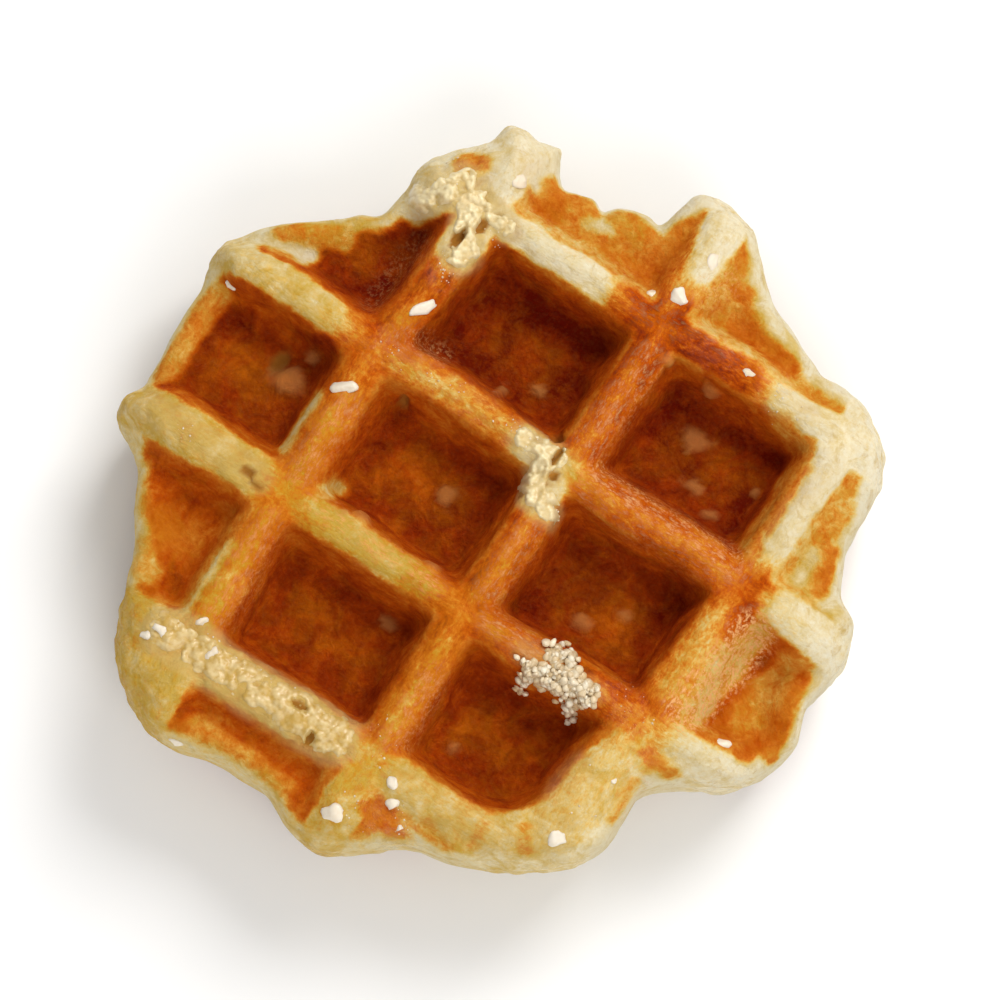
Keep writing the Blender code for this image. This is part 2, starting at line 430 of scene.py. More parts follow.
def slab_field(z, inward, drops):
    """The puck of dough with no pockets: a lobed outline with a full, rounded side."""
    drop = np.where(z > MIDDLE_Z, drops[0], drops[1])
    up = np.abs(z - MIDDLE_Z) - (MIDDLE_Z - EDGE_ROUNDING) + drop
    out = EDGE_ROUNDING - inward
    full = np.maximum(up, 0) ** EDGE_FULLNESS + np.maximum(out, 0) ** EDGE_FULLNESS
    return full ** (1 / EDGE_FULLNESS) + np.minimum(np.maximum(up, out), 0) - EDGE_ROUNDING


def pocket_field(plan, below_face):
    """The air in the pockets of one face. Each wall leans from its floor's edge out to its mouth."""
    depth = np.maximum(plan.depth, 0.5)
    share = np.clip(1 - below_face / depth, 0, 1.15)  # 0 at the floor and 1 at the face
    sides = [wall + run * (1 - share) / np.sqrt(1 + (run / depth) ** 2) for wall, run in plan.walls]
    across = np.maximum(sides[0], sides[1])
    along = np.maximum(sides[2], sides[3])
    walls = smooth_max(across, along, CORNER_ROUNDING)
    walls = smooth_max(walls, plan.cut + WALL_RUN * (1 - share), CUT_ROUNDING)
    shoulder = SHOULDER * smoothstep(0.78, 1.0, share)
    air = smooth_max(walls - shoulder, below_face - depth + plan.rise + plan.swell, FLOOR_FILLET)
    return np.where(plan.depth > 0, air, 9.0)


def dough_field(z, plans):
    """Negative in dough and positive in air, at heights over the places that the plans describe."""
    inward = plans[0].inward
    body = slab_field(z, inward, (plans[0].drop, plans[1].drop))
    rounding = RIB_ROUNDING + (RIM_ROUNDING - RIB_ROUNDING) * smoothstep(9, 2, inward)
    for (side, _, _), plan in zip(FACES, plans):
        below_face = MIDDLE_Z - (z - MIDDLE_Z) * side
        body = smooth_max(body, -pocket_field(plan, below_face), rounding)
    return body


def field_at(x, y, z):
    return dough_field(z, face_plans(x, y))


middle_of_web = np.array([[-10.0], [-3.0], [MIDDLE_Z]])
print("field in the middle of the web:", round(float(field_at(*middle_of_web)[0]), 2))

# %% [markdown]
# ## From field to mesh
#
# The mesh is grown from the field with surface nets: a box of small cells is filled with the
# field's values, each cell that the surface crosses gets one point, and each crossed edge of the
# grid joins four of them with a quad. It gives even quads with no seams, which later relief needs.
# The points are then pulled onto the exact surface along the field's slope.

# %% Surface nets
CELL = 0.62  # mm, fine enough for the relief and under the limit on triangles


def axis_steps(low, high):
    return np.arange(low, high + CELL, CELL)


def fill_grid(margin=2.5):
    """The field's values on a box of grid points, and the points' places along each axis."""
    xs = axis_steps(cad_low.x / MM - margin, cad_high.x / MM + margin)
    ys = axis_steps(cad_low.y / MM - margin, cad_high.y / MM + margin)
    zs = axis_steps(-margin, FACE_Z + margin)
    flat_x, flat_y = np.meshgrid(xs, ys, indexing="ij")
    plans = face_plans(flat_x, flat_y)
    values = np.empty((len(xs), len(ys), len(zs)))
    for k, z in enumerate(zs):
        values[:, :, k] = dough_field(np.full_like(flat_x, z), plans)
    return values, (xs, ys, zs)


def corner_slices(shape, offset):
    return tuple(slice(o, n - 1 + o) for o, n in zip(offset, shape))


def cell_points(values, steps):
    """One point in each cell that the surface crosses, and the cells' point numbers."""
    shape = values.shape
    corners = [(a, b, c) for a in (0, 1) for b in (0, 1) for c in (0, 1)]
    total = np.zeros((shape[0] - 1, shape[1] - 1, shape[2] - 1, 3), np.float32)
    count = np.zeros(total.shape[:3], np.int8)
    for start in corners:
        for axis in range(3):
            if start[axis]:
                continue
            end = tuple(v + (n == axis) for n, v in enumerate(start))
            first = values[corner_slices(shape, start)]
            last = values[corner_slices(shape, end)]
            crossed = (first < 0) != (last < 0)
            part = np.where(crossed, first / np.where(crossed, first - last, 1), 0)
            for n in range(3):
                total[..., n] += np.where(crossed, part if n == axis else start[n], 0)
            count += crossed
    used = count > 0
    numbers = np.full(count.shape, -1, np.int64)
    numbers[used] = np.arange(used.sum())
    cells = np.argwhere(used)
    inside = total[used] / count[used][:, None]
    origin = np.array([step[0] for step in steps])
    return origin + (cells + inside) * CELL, numbers


def crossed_quads(values, numbers):
    """A quad for each grid edge that the surface crosses, facing out of the dough."""
    quads = []
    for axis in range(3):
        moved = np.moveaxis(values, axis, 0)
        cells = np.moveaxis(numbers, axis, 0)
        low = moved[:-1, 1:-1, 1:-1] < 0
        high = moved[1:, 1:-1, 1:-1] < 0
        ring = [cells[:, :-1, :-1], cells[:, 1:, :-1], cells[:, 1:, 1:], cells[:, :-1, 1:]]
        around = np.stack(ring, axis=-1)
        if axis == 1:
            around = around[..., ::-1]
        quads.append(around[low & ~high])
        quads.append(around[high & ~low][:, ::-1])
    return np.concatenate(quads)


grid_values, grid_steps = fill_grid()
points, point_numbers = cell_points(grid_values, grid_steps)
quads = crossed_quads(grid_values, point_numbers)
print("grown:", len(points), "points,", len(quads), "quads")


# %% Pull the points onto the surface
def slope_at(x, y, z, field, step=0.08):
    """The field's slope at each place, which points out of the dough."""
    parts = []
    for axis in range(3):
        ahead = [v + step * (n == axis) for n, v in enumerate((x, y, z))]
        behind = [v - step * (n == axis) for n, v in enumerate((x, y, z))]
        parts.append((field(*ahead) - field(*behind)) / (2 * step))
    return np.stack(parts, axis=-1)


def pull_to_surface(places, field, rounds=2):
    for _ in range(rounds):
        value = field(*places.T)
        slope = slope_at(*places.T, field)
        square = np.maximum((slope**2).sum(axis=1), 0.25)
        move = slope * (value / square)[:, None]
        length = np.maximum(np.linalg.norm(move, axis=1), 1e-9)
        places = places - move * np.minimum(1, 0.5 * CELL / length)[:, None]
    return places


points = pull_to_surface(points, field_at)
outward = slope_at(*points.T, field_at)
outward /= np.maximum(np.linalg.norm(outward, axis=1), 1e-6)[:, None]
print("box after the pull:", points.min(axis=0).round(1), points.max(axis=0).round(1))

# %% [markdown]
# ## Knowing each place
#
# Colour and relief follow the baking: floors and walls pressed on hot iron are brown, rib tops less
# so, and dough that touched nothing stays pale. So each point is described once, by how far it is
# from the rim, a pocket floor and the faces, and everything after reads those numbers.

# %% Describe every point of the surface
px, py, pz = points.T
upper_side = pz > MIDDLE_Z
face_side = np.where(upper_side, 1, -1)
plan_upper, plan_lower = face_plans(px, py)


def of_face(name):
    """One of the plan's numbers, from the upper face's plan or the lower one's as the point lies."""
    return np.where(upper_side, getattr(plan_upper, name), getattr(plan_lower, name))


inward = plan_upper.inward
from_column = of_face("from_column")
from_row = of_face("from_row")
depth = of_face("depth")
beyond_mouth = np.where(upper_side, plan_upper.beyond_mouth(), plan_lower.beyond_mouth())
below_face = MIDDLE_Z - np.abs(pz - MIDDLE_Z)
facing = outward[:, 2] * face_side  # 1 on floors and rib tops, 0 on walls and the side
ragged = 0.45 * layered_noise(px, py, pz, 2.6, 131, 2)
uneven = layered_noise(px, py, pz, 1.3, 141, 2)
along_x = smoothstep(-1.5, 1.5, from_column - from_row)  # 1 on ribs that run along X
in_pocket = smoothstep(0.25, -0.45, beyond_mouth + 0.8 * ragged + 0.3 * uneven) * (depth > 0)
on_crest = 1 - in_pocket
floor_depth = np.maximum(depth - of_face("rise"), 0.8)
floor_share = smoothstep(0.45, 0.85, below_face / floor_depth) * smoothstep(0.35, 0.8, facing)
on_floor = in_pocket * floor_share
floor_edge_brown_and_shade = np.where(upper_side, plan_upper.edge_brown_and_shade(2.2 * ragged), plan_lower.edge_brown_and_shade(2.2 * ragged))
print("share on crests:", round(float(on_crest.mean()), 2), "on floors:", round(float(on_floor.mean()), 2))


# %% Strokes and spots
def off_line(x, y, start, end):
    """How far places lie, in plan, from a straight line between two points."""
    ax, ay = start
    bx, by = end
    length = (bx - ax) ** 2 + (by - ay) ** 2
    part = np.clip(((x - ax) * (bx - ax) + (y - ay) * (by - ay)) / length, 0, 1)
    return np.hypot(x - ax - part * (bx - ax), y - ay - part * (by - ay))


def stroke(start, end, half_width, soft):
    """1 within half_width of a line on the upper face, fading to 0 over a soft, ragged edge."""
    away = off_line(px, py, start, end) + 1.2 * ragged
    return smoothstep(half_width + soft, half_width - soft * 0.4, away) * upper_side


def spot(x, y, half_x, half_y, edge=0.45):
    """1 inside an uneven ellipse on the upper face, with a soft edge."""
    away = np.hypot((px - x) / half_x, (py - y) / half_y) * (1 + 0.55 * uneven)
    return smoothstep(1 + edge, 1 - edge, away) * upper_side


# %% [markdown]
# ## How deep the crust is baked
#
# One number runs the colour: 0 is raw-pale dough and 1 the darkest caramel. The plates never touch
# every rib alike, so each rib has its own bake along its length, each pocket its own floor, and the
# free dough at the rim stays pale. The number also carries painted shade: it is set darker beside the
# pockets' walls, at the foot of each wall, on the side that faces away from the light and in part of
# each floor's value, and a few patches carry painted light.

# %% The bake along each rib and in each pocket
COLUMN_BAKE = {  # column: (y, bake) along its crest
    -1: ((-46, 0.22), (-37, 0.24), (-33, 0.42), (-28, 0.44), (-20, 0.46), (-14, 0.42), (-3, 0.43),
         (6, 0.53), (10, 0.58), (14, 0.45), (19, 0.62), (22, 0.54), (24, 0.16), (34, 0.10), (44, 0.07)),
    0: ((-48, 0.24), (-38, 0.26), (-35, 0.46), (-28, 0.38), (-18, 0.48), (-14, 0.58), (-6, 0.52), (0, 0.60),
        (3, 0.12), (9, 0.16), (12, 0.56), (20, 0.56), (29, 0.70), (34, 0.68), (37, 0.34), (42, 0.16),
        (48, 0.06)),
    1: ((-36, 0.25), (-20, 0.28), (-15, 0.42), (-11, 0.58), (-8, 0.36), (3, 0.34), (7, 0.54), (10, 0.62),
        (13, 0.30), (15, 0.08), (30, 0.05)),
}
ROW_BAKE = {  # row: (x, bake) along its crest
    -1: ((-32, 0.26), (-4, 0.24), (2, 0.32), (5, 0.40), (9, 0.26), (30, 0.28)),
    0: ((-48, 0.24), (-29, 0.22), (-26, 0.40), (-22, 0.36), (-16, 0.24), (-8, 0.23), (-2, 0.34), (4, 0.56),
        (12, 0.50), (20, 0.60), (27, 0.58), (31, 0.38), (35, 0.44), (39, 0.12), (48, 0.05)),
    1: ((-48, 0.20), (-34, 0.16), (-30, 0.30), (-26, 0.60), (-22, 0.50), (-14, 0.32), (-7, 0.38),
        (-3, 0.34), (0, 0.10), (6, 0.30), (10, 0.56), (20, 0.53), (30, 0.54), (35, 0.60),
        (38, 0.14), (50, 0.04)),
    2: ((-32, 0.12), (-19, 0.06), (-4, 0.10), (-1, 0.56), (4, 0.72), (12, 0.76), (20, 0.62),
        (23.5, 0.14), (36, 0.04)),
}
FLOOR_BAKE_AND_SHADE = {  # (column, row): bake of the pocket's floor; part of each value is painted shade
    (-2, 1): 0.86, (-1, 1): 0.86, (0, 1): 0.84, (1, 1): 0.30, (-2, 0): 0.74, (-1, 0): 0.75, (0, 0): 0.79,
    (1, 0): 0.55, (-2, -1): 0.58, (-1, -1): 0.75, (0, -1): 0.75, (1, -1): 0.40, (-1, 2): 0.44, (0, 2): 0.36,
    (-1, -2): 0.56, (0, -2): 0.42,
}
PATCHES_OF_BAKE_AND_LIGHT = (  # (start, end, half width, bake there), on the upper face; three of them are painted light, marked below
    ((-46, 14.0), (-40, 14.8), 1.4, 0.05),
    ((-44, 15.5), (-37, 19.5), 1.3, 0.40),
    ((-37, 22.0), (-30, 31.0), 1.0, 0.26),
    ((-31.5, 28.5), (-27.0, 33.0), 2.8, 0.12),
    ((-28.5, 36.0), (-26.5, 36.8), 1.3, 0.50),
    ((-25.0, 42.0), (-19.0, 41.0), 2.8, 0.06),
    ((-17.0, 40.0), (-11.0, 40.4), 1.4, 0.50),
    ((-8.0, 41.4), (-3.0, 41.2), 1.4, 0.46),
    # painted sheen: a thin pale line on the wall of the top-rim pocket that faces the light
    ((-19.0, 34.8), (-2.0, 34.9), 0.5, 0.36),
    ((2.0, 37.0), (1.0, 44.0), 1.6, 0.50),
    ((6.2, 40.5), (6.6, 45.5), 1.1, 0.02),
    ((11.0, 41.5), (12.5, 42.0), 0.9, 0.50),
    ((9.0, 35.0), (24.0, 35.1), 0.8, 0.30),
    ((14.0, 37.6), (22.5, 36.6), 1.2, 0.56),
    ((34.0, 31.0), (36.5, 33.0), 2.8, 0.05),
    # painted glow: a lighter orange wall next to the right lobe, where light shines through the thin dough
    ((31.0, 14.0), (30.8, 26.0), 1.2, 0.46),
    ((25.5, 29.4), (30.0, 28.6), 1.0, 0.46),
    ((37.5, 21.0), (38.6, 25.0), 1.3, 0.34),
    ((40.6, 19.0), (42.0, 14.0), 0.7, 0.52),
    ((36.4, 17.0), (37.0, 12.5), 0.5, 0.38),
    ((38.6, 17.5), (38.8, 13.5), 0.7, 0.10),
    ((-46.6, 4.0), (-46.8, -9.0), 1.4, 0.42),
    ((-35.0, 4.0), (-30.0, 5.5), 0.8, 0.80),
    ((-42.0, -19.0), (-28.0, -18.6), 0.8, 0.62),
    ((-33.5, -32.5), (-36.5, -30.5), 1.4, 0.30),
    ((-19.0, -43.0), (-1.5, -43.2), 0.7, 0.62),
    ((-17.0, -45.6), (-3.0, -46.0), 1.0, 0.44),
    ((8.0, -42.8), (14.0, -43.6), 0.9, 0.52),
    ((26.5, -34.0), (28.0, -36.0), 0.7, 0.42),
    ((15.0, -40.0), (19.0, -41.5), 0.7, 0.34),
    ((22.0, -36.5), (22.0, -39.0), 0.6, 0.36),
    ((34.5, -17.0), (41.0, -17.6), 0.6, 0.52),
    ((35.8, -21.0), (36.0, -26.0), 0.8, 0.40),
    # painted light: the lit left wall of the pocket at the right rim, set pale
    ((36.4, -8.0), (37.4, 4.5), 2.0, 0.34),
    ((34.8, 2.0), (35.6, 5.5), 0.8, 0.66),
    ((43.0, -6.0), (44.0, 3.0), 2.0, 0.44),
    ((46.4, 3.0), (48.6, -8.0), 0.6, 0.55),
    ((-20.0, -11.0), (-19.0, -9.0), 0.9, 0.30),
    ((-27.6, -0.5), (-27.6, -9.5), 0.25, 0.16),
    ((-26.4, -24.0), (-26.2, -35.0), 0.6, 0.28),
)


def along_ribs(across, along, table, default):
    """The bake of the nearest rib, from the table for the upper face."""
    nearest = np.round(across).astype(int)
    baked = np.full(len(across), default)
    for rib, stops in table.items():
        baked = np.where(nearest == rib, np.interp(along, *zip(*stops)), baked)
    return baked


YELLOW_SHADED_SIDE = 232  # the bearing of the side painted yellower and darker: eggier dough, with painted shade where it faces away from the light
yellow_and_shade = (0.5 + 0.5 * np.cos(np.arctan2(py, px) - math.radians(YELLOW_SHADED_SIDE))) ** 1.5


def rim_paleness():
    """The bake of untouched dough: a little deeper on the yellow side, partly as painted shade on the side
    away from the light.
    """
    return 0.03 + 0.17 * yellow_and_shade


def crest_bake(mottle):
    by_column = along_ribs(plan_upper.column, py, COLUMN_BAKE, 0.15)
    by_row = along_ribs(plan_upper.row, px, ROW_BAKE, 0.15)
    upper = by_row * along_x + by_column * (1 - along_x)
    edge = smoothstep(1.9, 0.2, beyond_mouth + 0.7 * ragged) * smoothstep(7, 11, inward)
    upper = upper + 0.14 * edge * smoothstep(0.26, 0.40, upper)
    lower = 0.50 + 0.16 * layered_noise(px, py, pz, 15.0, 231, 2)
    return np.where(upper_side, upper, lower) + 0.05 * mottle


def floor_bake_and_shade(mottle):
    cell_i = np.floor(plan_upper.column).astype(int)
    cell_j = np.floor(plan_upper.row).astype(int)
    upper = np.full(len(px), 0.55)
    for (i, j), value in FLOOR_BAKE_AND_SHADE.items():
        upper = np.where((cell_i == i) & (cell_j == j), value, upper)
    lower = np.where(depth > 9, 0.80, 0.55)
    return np.where(upper_side, upper, lower) + 0.07 * mottle


def bake_map():
    mottle = layered_noise(px, py, pz, 6.0, 201)
    crest = crest_bake(mottle)
    floor = floor_bake_and_shade(mottle)
    wall = np.minimum(floor * 0.82 + 0.03, 0.71) + 0.06 * mottle
    top_of_wall = smoothstep(0.42, 0.10, below_face / np.maximum(depth, 4.0) + 0.1 * ragged)
    wall = wall + (np.minimum(wall, 0.50) - wall) * 0.8 * top_of_wall
    # painted shade: each wall is set darker toward its foot, in the crease where it meets the floor
    wall_foot_shade = smoothstep(0.45, 0.95, below_face / floor_depth) * (1 - floor_share)
    wall = wall + 0.14 * wall_foot_shade
    # painted shade: the floor is set darker next to its walls, on top of its browning
    floor = floor + 0.12 * floor_edge_brown_and_shade
    pocket = wall + (floor - wall) * floor_share
    baked = crest * on_crest + pocket * in_pocket
    bank = smoothstep(3.0, 1.2, inward + 1.6 * mottle + 1.6 * ragged)
    free = smoothstep(9.0, 5.0, inward + 2.0 * mottle + 1.2 * ragged) * on_crest
    pale = rim_paleness()
    baked = baked + (pale - baked) * np.maximum(bank, np.where(upper_side, 0.35 * free, free))
    for start, end, half_width, value in PATCHES_OF_BAKE_AND_LIGHT:
        there = stroke(start, end, half_width, 0.9)
        baked = baked + (value + 0.04 * mottle - baked) * there
    side = smoothstep(0.55, 0.2, np.abs(outward[:, 2])) * smoothstep(4.5, 2.0, inward)
    return np.clip(baked + (pale + 0.04 * mottle - baked) * side, 0, 1)


bake = bake_map()
print("mean bake:", round(float(bake.mean()), 2))

# %% [markdown]
# ## Torn crumb, pits and sunk sugar
#
# Where the dough stuck to the iron its skin tore off and the crumb shows: small rounded curds with
# cracks between them. Pearl sugar that sank under the skin stands up as a dull bump. Each is a spot
# or a stroke in one of these lists, and the next step turns them into relief.

# %% Where they are
TORN = (  # (start, end, half width, strength)
    ((-24.4, 32.0), (-22.0, 25.0), 2.3, 1.0),
    ((-30.4, 29.6), (-27.0, 33.5), 2.6, 0.8),
    ((-24.0, 32.6), (-18.6, 31.4), 1.7, 0.85),
    ((-24.0, 37.0), (-19.0, 41.0), 2.6, 0.25),
    ((-1.6, 9.2), (3.0, 9.0), 1.9, 0.9),
    ((2.2, 8.0), (3.4, 3.5), 2.0, 1.0),
    ((5.0, 3.4), (7.0, 2.6), 1.6, 0.8),
    ((-26.6, -38.0), (-20.0, -37.8), 3.5, 0.85),
    ((-20.0, -37.8), (-9.0, -37.6), 3.5, 0.80),
    ((-9.0, -37.6), (-1.0, -37.6), 3.5, 0.85),
    ((-46.0, -14.2), (-28.0, -14.4), 2.0, 0.5),
    ((33.6, 16.0), (33.8, 28.0), 1.8, 0.3),
    ((24.0, 31.8), (28.0, 32.4), 1.4, 0.5),
    ((28.0, -24.0), (30.0, -34.0), 2.6, 0.3),
    ((10.0, -38.0), (26.0, -37.5), 2.6, 0.3),
    ((14.0, -14.6), (24.0, -14.2), 1.4, 0.4),
)
PITS = (  # (x, y, half width, half length, depth)
    (-29.4, -14.5, 0.9, 0.6, 1.1),
    (-27.8, -15.6, 0.7, 0.4, 0.7),
    (-23.4, 26.8, 0.6, 1.5, 1.7),
    (-21.8, 29.6, 0.5, 0.9, 1.3),
    (3.4, 9.4, 0.4, 1.3, 1.4),
    (4.4, 7.2, 0.7, 0.35, 1.2),
    (1.8, 11.8, 0.8, 0.5, 1.2),
    (-3.4, -39.4, 0.45, 0.9, 1.3),
    (-7.0, -36.4, 1.3, 0.45, 0.9),
    (-35.0, 0.8, 1.1, 1.5, 1.1),
    (-18.0, 5.0, 0.6, 0.5, 0.8),
)
SUNK_SUGAR = (  # (x, y, half width, half length, height)
    (17.0, 22.3, 1.7, 1.4, 0.9),
    (17.7, -6.3, 1.3, 1.1, 0.8),
    (-6.5, -2.0, 1.2, 1.4, 0.9),
    (-32.6, -0.6, 2.3, 1.9, 1.1),
    (12.6, -29.6, 0.8, 0.9, 0.7),
    (-3.8, -20.4, 1.3, 0.7, 0.6),
    (-8.2, 13.4, 0.7, 1.0, 0.7),
    (-4.0, 16.6, 0.9, 0.7, 0.6),
    (8.4, 28.4, 0.9, 0.8, 0.7),
    (15.4, 28.5, 1.0, 0.6, 0.6),
    (24.0, 15.0, 1.0, 0.7, 0.5),
    (20.5, 17.0, 1.6, 0.8, 0.4),
    (22.0, -2.4, 1.0, 0.7, 0.5),
    (27.6, 20.8, 0.6, 0.7, 0.5),
    (-31.6, 3.6, 1.0, 0.8, 0.6),
    (-13.8, -11.3, 1.1, 0.6, 0.6),
    (-2.6, -11.4, 1.2, 0.5, 0.4),
    (-16.0, -12.0, 0.6, 0.5, 0.4),
)


def cell_noise(x, y, z, size, seed):
    """Distance to the nearest of one random centre in each cell, as a share of the cell's size."""
    scaled = [np.asarray(along, float) / size + 500.0 for along in (x, y, z)]
    cells = [np.floor(s).astype(np.int64) for s in scaled]
    nearest = np.full(len(scaled[0]), 9.0)
    steps = (-1, 0, 1)
    for offset in [(a, b, c) for a in steps for b in steps for c in steps]:
        there = [cell + o for cell, o in zip(cells, offset)]
        square = 0.0
        for axis in range(3):
            square = square + (there[axis] + hashed(*there, seed + axis) - scaled[axis]) ** 2
        nearest = np.minimum(nearest, square)
    return np.sqrt(nearest)


torn = np.zeros(len(px))
for start, end, half_width, strength in TORN:
    torn = np.maximum(torn, strength * stroke(start, end, half_width, 1.0))
torn *= smoothstep(6.0, 2.5, below_face)
pit = np.zeros(len(px))
for x, y, half_x, half_y, deep in PITS:
    pit = np.maximum(pit, deep * spot(x, y, half_x, half_y))
sunk = np.zeros(len(px))
lift = np.zeros(len(px))
for x, y, half_x, half_y, tall in SUNK_SUGAR:
    there = spot(x, y, half_x, half_y, 0.35)
    sunk = np.maximum(sunk, there)
    lift = np.maximum(lift, tall * there)
print("torn points:", int((torn > 0.3).sum()), "points over sunk sugar:", int((sunk > 0.3).sum()))

# %% [markdown]
# ## Relief
#
# The crust isn't smooth: soft lumps where bubbles lie under the skin, fine fibres that run along the
# ribs where the dough tore free of the iron, and swellings over sunk sugar. They are small moves of
# the points along the surface's own direction, so they are real shape and not a trick of shading.


# %% Move the points
def relief_map():
    lumps = 0.26 * layered_noise(px, py, pz, 4.6, 301, 2) + 0.13 * layered_noise(px, py, pz, 1.9, 311, 2)
    run_x = value_noise(px / 5, py, pz, 1.3, 321)
    run_y = value_noise(px, py / 5, pz, 1.3, 331)
    fibres = 0.13 * (run_x * along_x + run_y * (1 - along_x))
    curds = 0.85 * (0.55 - cell_noise(px, py, pz, 1.9, 341))
    curds = curds + 0.3 * (0.5 - cell_noise(px, py, pz, 1.0, 351))
    free = smoothstep(7.0, 3.0, inward)
    free = np.maximum(free, smoothstep(0.34, 0.22, bake)) * on_crest
    bubbles = 0.5 * (0.5 - cell_noise(px, py, pz, 3.4, 361))
    bubbles = (bubbles + 0.30 * layered_noise(px, py, pz, 2.4, 371, 2)) * free
    skin = lumps * (1 - 0.45 * on_floor) + fibres * (1 - 0.8 * on_floor) * (1 - 0.6 * free) + bubbles
    return skin * (1 - 0.6 * torn) + curds * torn - pit + lift


relief = relief_map()
shaped = points + outward * relief[:, None]
shaped[:, 2] = np.clip(shaped[:, 2], 0.0, FACE_Z + 0.7)
print("relief from", round(float(relief.min()), 2), "to", round(float(relief.max()), 2), "mm")

# %% Make the body's mesh
body_mesh = bpy.data.meshes.new("waffle_body")
body_mesh.from_pydata((shaped * MM).tolist(), [], quads.tolist())
body_mesh.validate()
body_mesh.shade_smooth()
waffle = bpy.data.objects.new("waffle_body", body_mesh)
bpy.context.scene.collection.objects.link(waffle)


def store(mesh, name, values):
    """Keeps one number for each point, for the material to read."""
    attribute = mesh.attributes.new(name, "FLOAT", "POINT")
    attribute.data.foreach_set("value", np.asarray(values, np.float32))


GOLDEN_FLOOR = 0.62  # how far the floors lean to the yellow colours; walls bake redder
DRY_AND_SHEEN = (  # (start, end, half width, strength): dry tan skin on the upper face, with a painted sheen on rib sides and walls that face the light
    ((6.0, 13.0), (6.4, 27.0), 1.6, 1.0),
    ((9.0, 10.4), (31.0, 10.4), 1.6, 1.25),
    ((9.0, 8.2), (30.0, 8.4), 1.6, 0.6),
    ((5.6, -11.0), (5.6, -1.0), 1.3, 0.9),
    ((-23.6, -11.0), (-23.4, 0.0), 1.3, 0.9),
    ((-22.0, 11.6), (-18.0, 12.6), 1.6, 0.9),
    ((-20.0, -13.2), (-1.0, -13.6), 1.0, 0.9),
    ((-23.6, -19.0), (-22.4, -32.0), 1.6, 0.7),
    ((5.8, -24.0), (6.2, -33.0), 1.4, 0.8),
    ((8.0, -13.4), (15.0, -13.6), 1.2, 1.0),
    # painted glare on the left wall of the pocket at the right rim, which faces the light
    ((35.8, -9.0), (37.6, 4.0), 2.4, 3.0),
    ((-29.0, 14.0), (-28.0, 24.0), 1.2, 0.35),
    ((8.0, 38.0), (9.5, 42.0), 1.4, 0.8),
    ((2.0, 33.0), (6.0, 32.6), 1.8, 0.4),
    ((10.0, 34.2), (24.0, 34.2), 0.6, 0.9),
    ((-20.0, 34.4), (-2.0, 34.4), 0.5, 0.7),
    ((35.0, -19.5), (36.5, -24.0), 1.2, 0.6),
)
GLAZE = (  # (start, end, half width, strength): melted sugar on the upper face
    ((-23.0, 23.5), (-22.0, 21.0), 1.4, 1.0),
    ((-24.0, 9.4), (-8.0, 9.8), 2.0, 0.8),
    ((-3.0, 9.6), (1.0, 9.0), 1.8, 0.9),
    ((-34.0, 9.0), (-29.0, 8.6), 1.4, 0.6),
    ((22.0, 31.5), (24.5, 33.0), 1.2, 0.9),
    ((27.0, -12.0), (34.0, -17.0), 1.8, 0.8),
    ((2.0, -36.0), (13.0, -44.0), 2.6, 0.8),
    ((-16.0, -36.0), (-8.0, -36.4), 1.2, 0.7),
    ((-41.0, -14.0), (-36.0, -14.6), 1.2, 0.7),
    ((28.0, -24.0), (30.0, -31.0), 2.4, 0.6),
    ((11.0, 32.6), (15.0, 31.6), 1.6, 0.7),
    ((-12.0, -14.6), (-9.0, -15.0), 1.4, 0.6),
)
dry_and_sheen = np.zeros(len(px))
for start, end, half_width, strength in DRY_AND_SHEEN:
    dry_and_sheen = np.maximum(dry_and_sheen, strength * stroke(start, end, half_width, 1.6))
glaze = np.zeros(len(px))
for start, end, half_width, strength in GLAZE:
    glaze = np.maximum(glaze, strength * stroke(start, end, half_width, 1.6))
dry_and_sheen = np.where(upper_side, dry_and_sheen, 0.6 * on_crest * smoothstep(3, 7, inward))
glaze = np.maximum(glaze, 0.45 * on_crest * smoothstep(0.36, 0.2, bake))
store(body_mesh, "bake", bake)
store(body_mesh, "along_x", along_x)
store(body_mesh, "crest", on_crest)
store(body_mesh, "dry_and_sheen", dry_and_sheen)
store(body_mesh, "glaze", glaze)
store(body_mesh, "torn", torn)
store(body_mesh, "sunk", sunk)
# painted shade: pits and the low places of torn crumb take the darker crevice colour
store(body_mesh, "pit", np.clip(pit, 0, 1) + torn * np.clip(-relief * 2.2, 0, 1))
# the yellow side's share, partly painted shade, and the floors' lean to golden colours, left out beside the
# walls where painted shade darkens them
store(body_mesh, "yellow_and_shade", yellow_and_shade * on_crest + GOLDEN_FLOOR * on_floor * (1 - floor_edge_brown_and_shade))
print("waffle body:", len(body_mesh.vertices), "points,", 2 * len(body_mesh.polygons), "triangles")

# %% [markdown]
# ## The crust's finish
#
# Baked dough runs from cream through yellow and orange to deep caramel brown, and where sugar has
# melted on the iron it is glazed. The material reads the bake at each point, breaks it up with
# blotches and fine speckle, and adds streaks along the ribs. Pale tan streaks stand for dry skin and
# for a painted sheen on walls that face the light, and pits take a painted shade. Procedural nodes
# keep it sharp at any size, which a painted picture wouldn't.

# %% Node helpers
def new_material(name):
    material = bpy.data.materials.new(name)
    material.use_nodes = True
    tree = material.node_tree
    return material, tree, tree.nodes["Principled BSDF"]


def add_node(tree, kind, **settings):
    node = tree.nodes.new(kind)
    for name, value in settings.items():
        setattr(node, name, value)
    return node


def math_node(tree, operation, first, second=None, clamp=False):
    """A Math node whose inputs are sockets or plain numbers, and its output socket."""
    node = add_node(tree, "ShaderNodeMath", operation=operation, use_clamp=clamp)
    for socket, value in zip(node.inputs, (first, second)):
        if isinstance(value, bpy.types.NodeSocket):
            tree.links.new(value, socket)
        elif value is not None:
            socket.default_value = value
    return node.outputs[0]


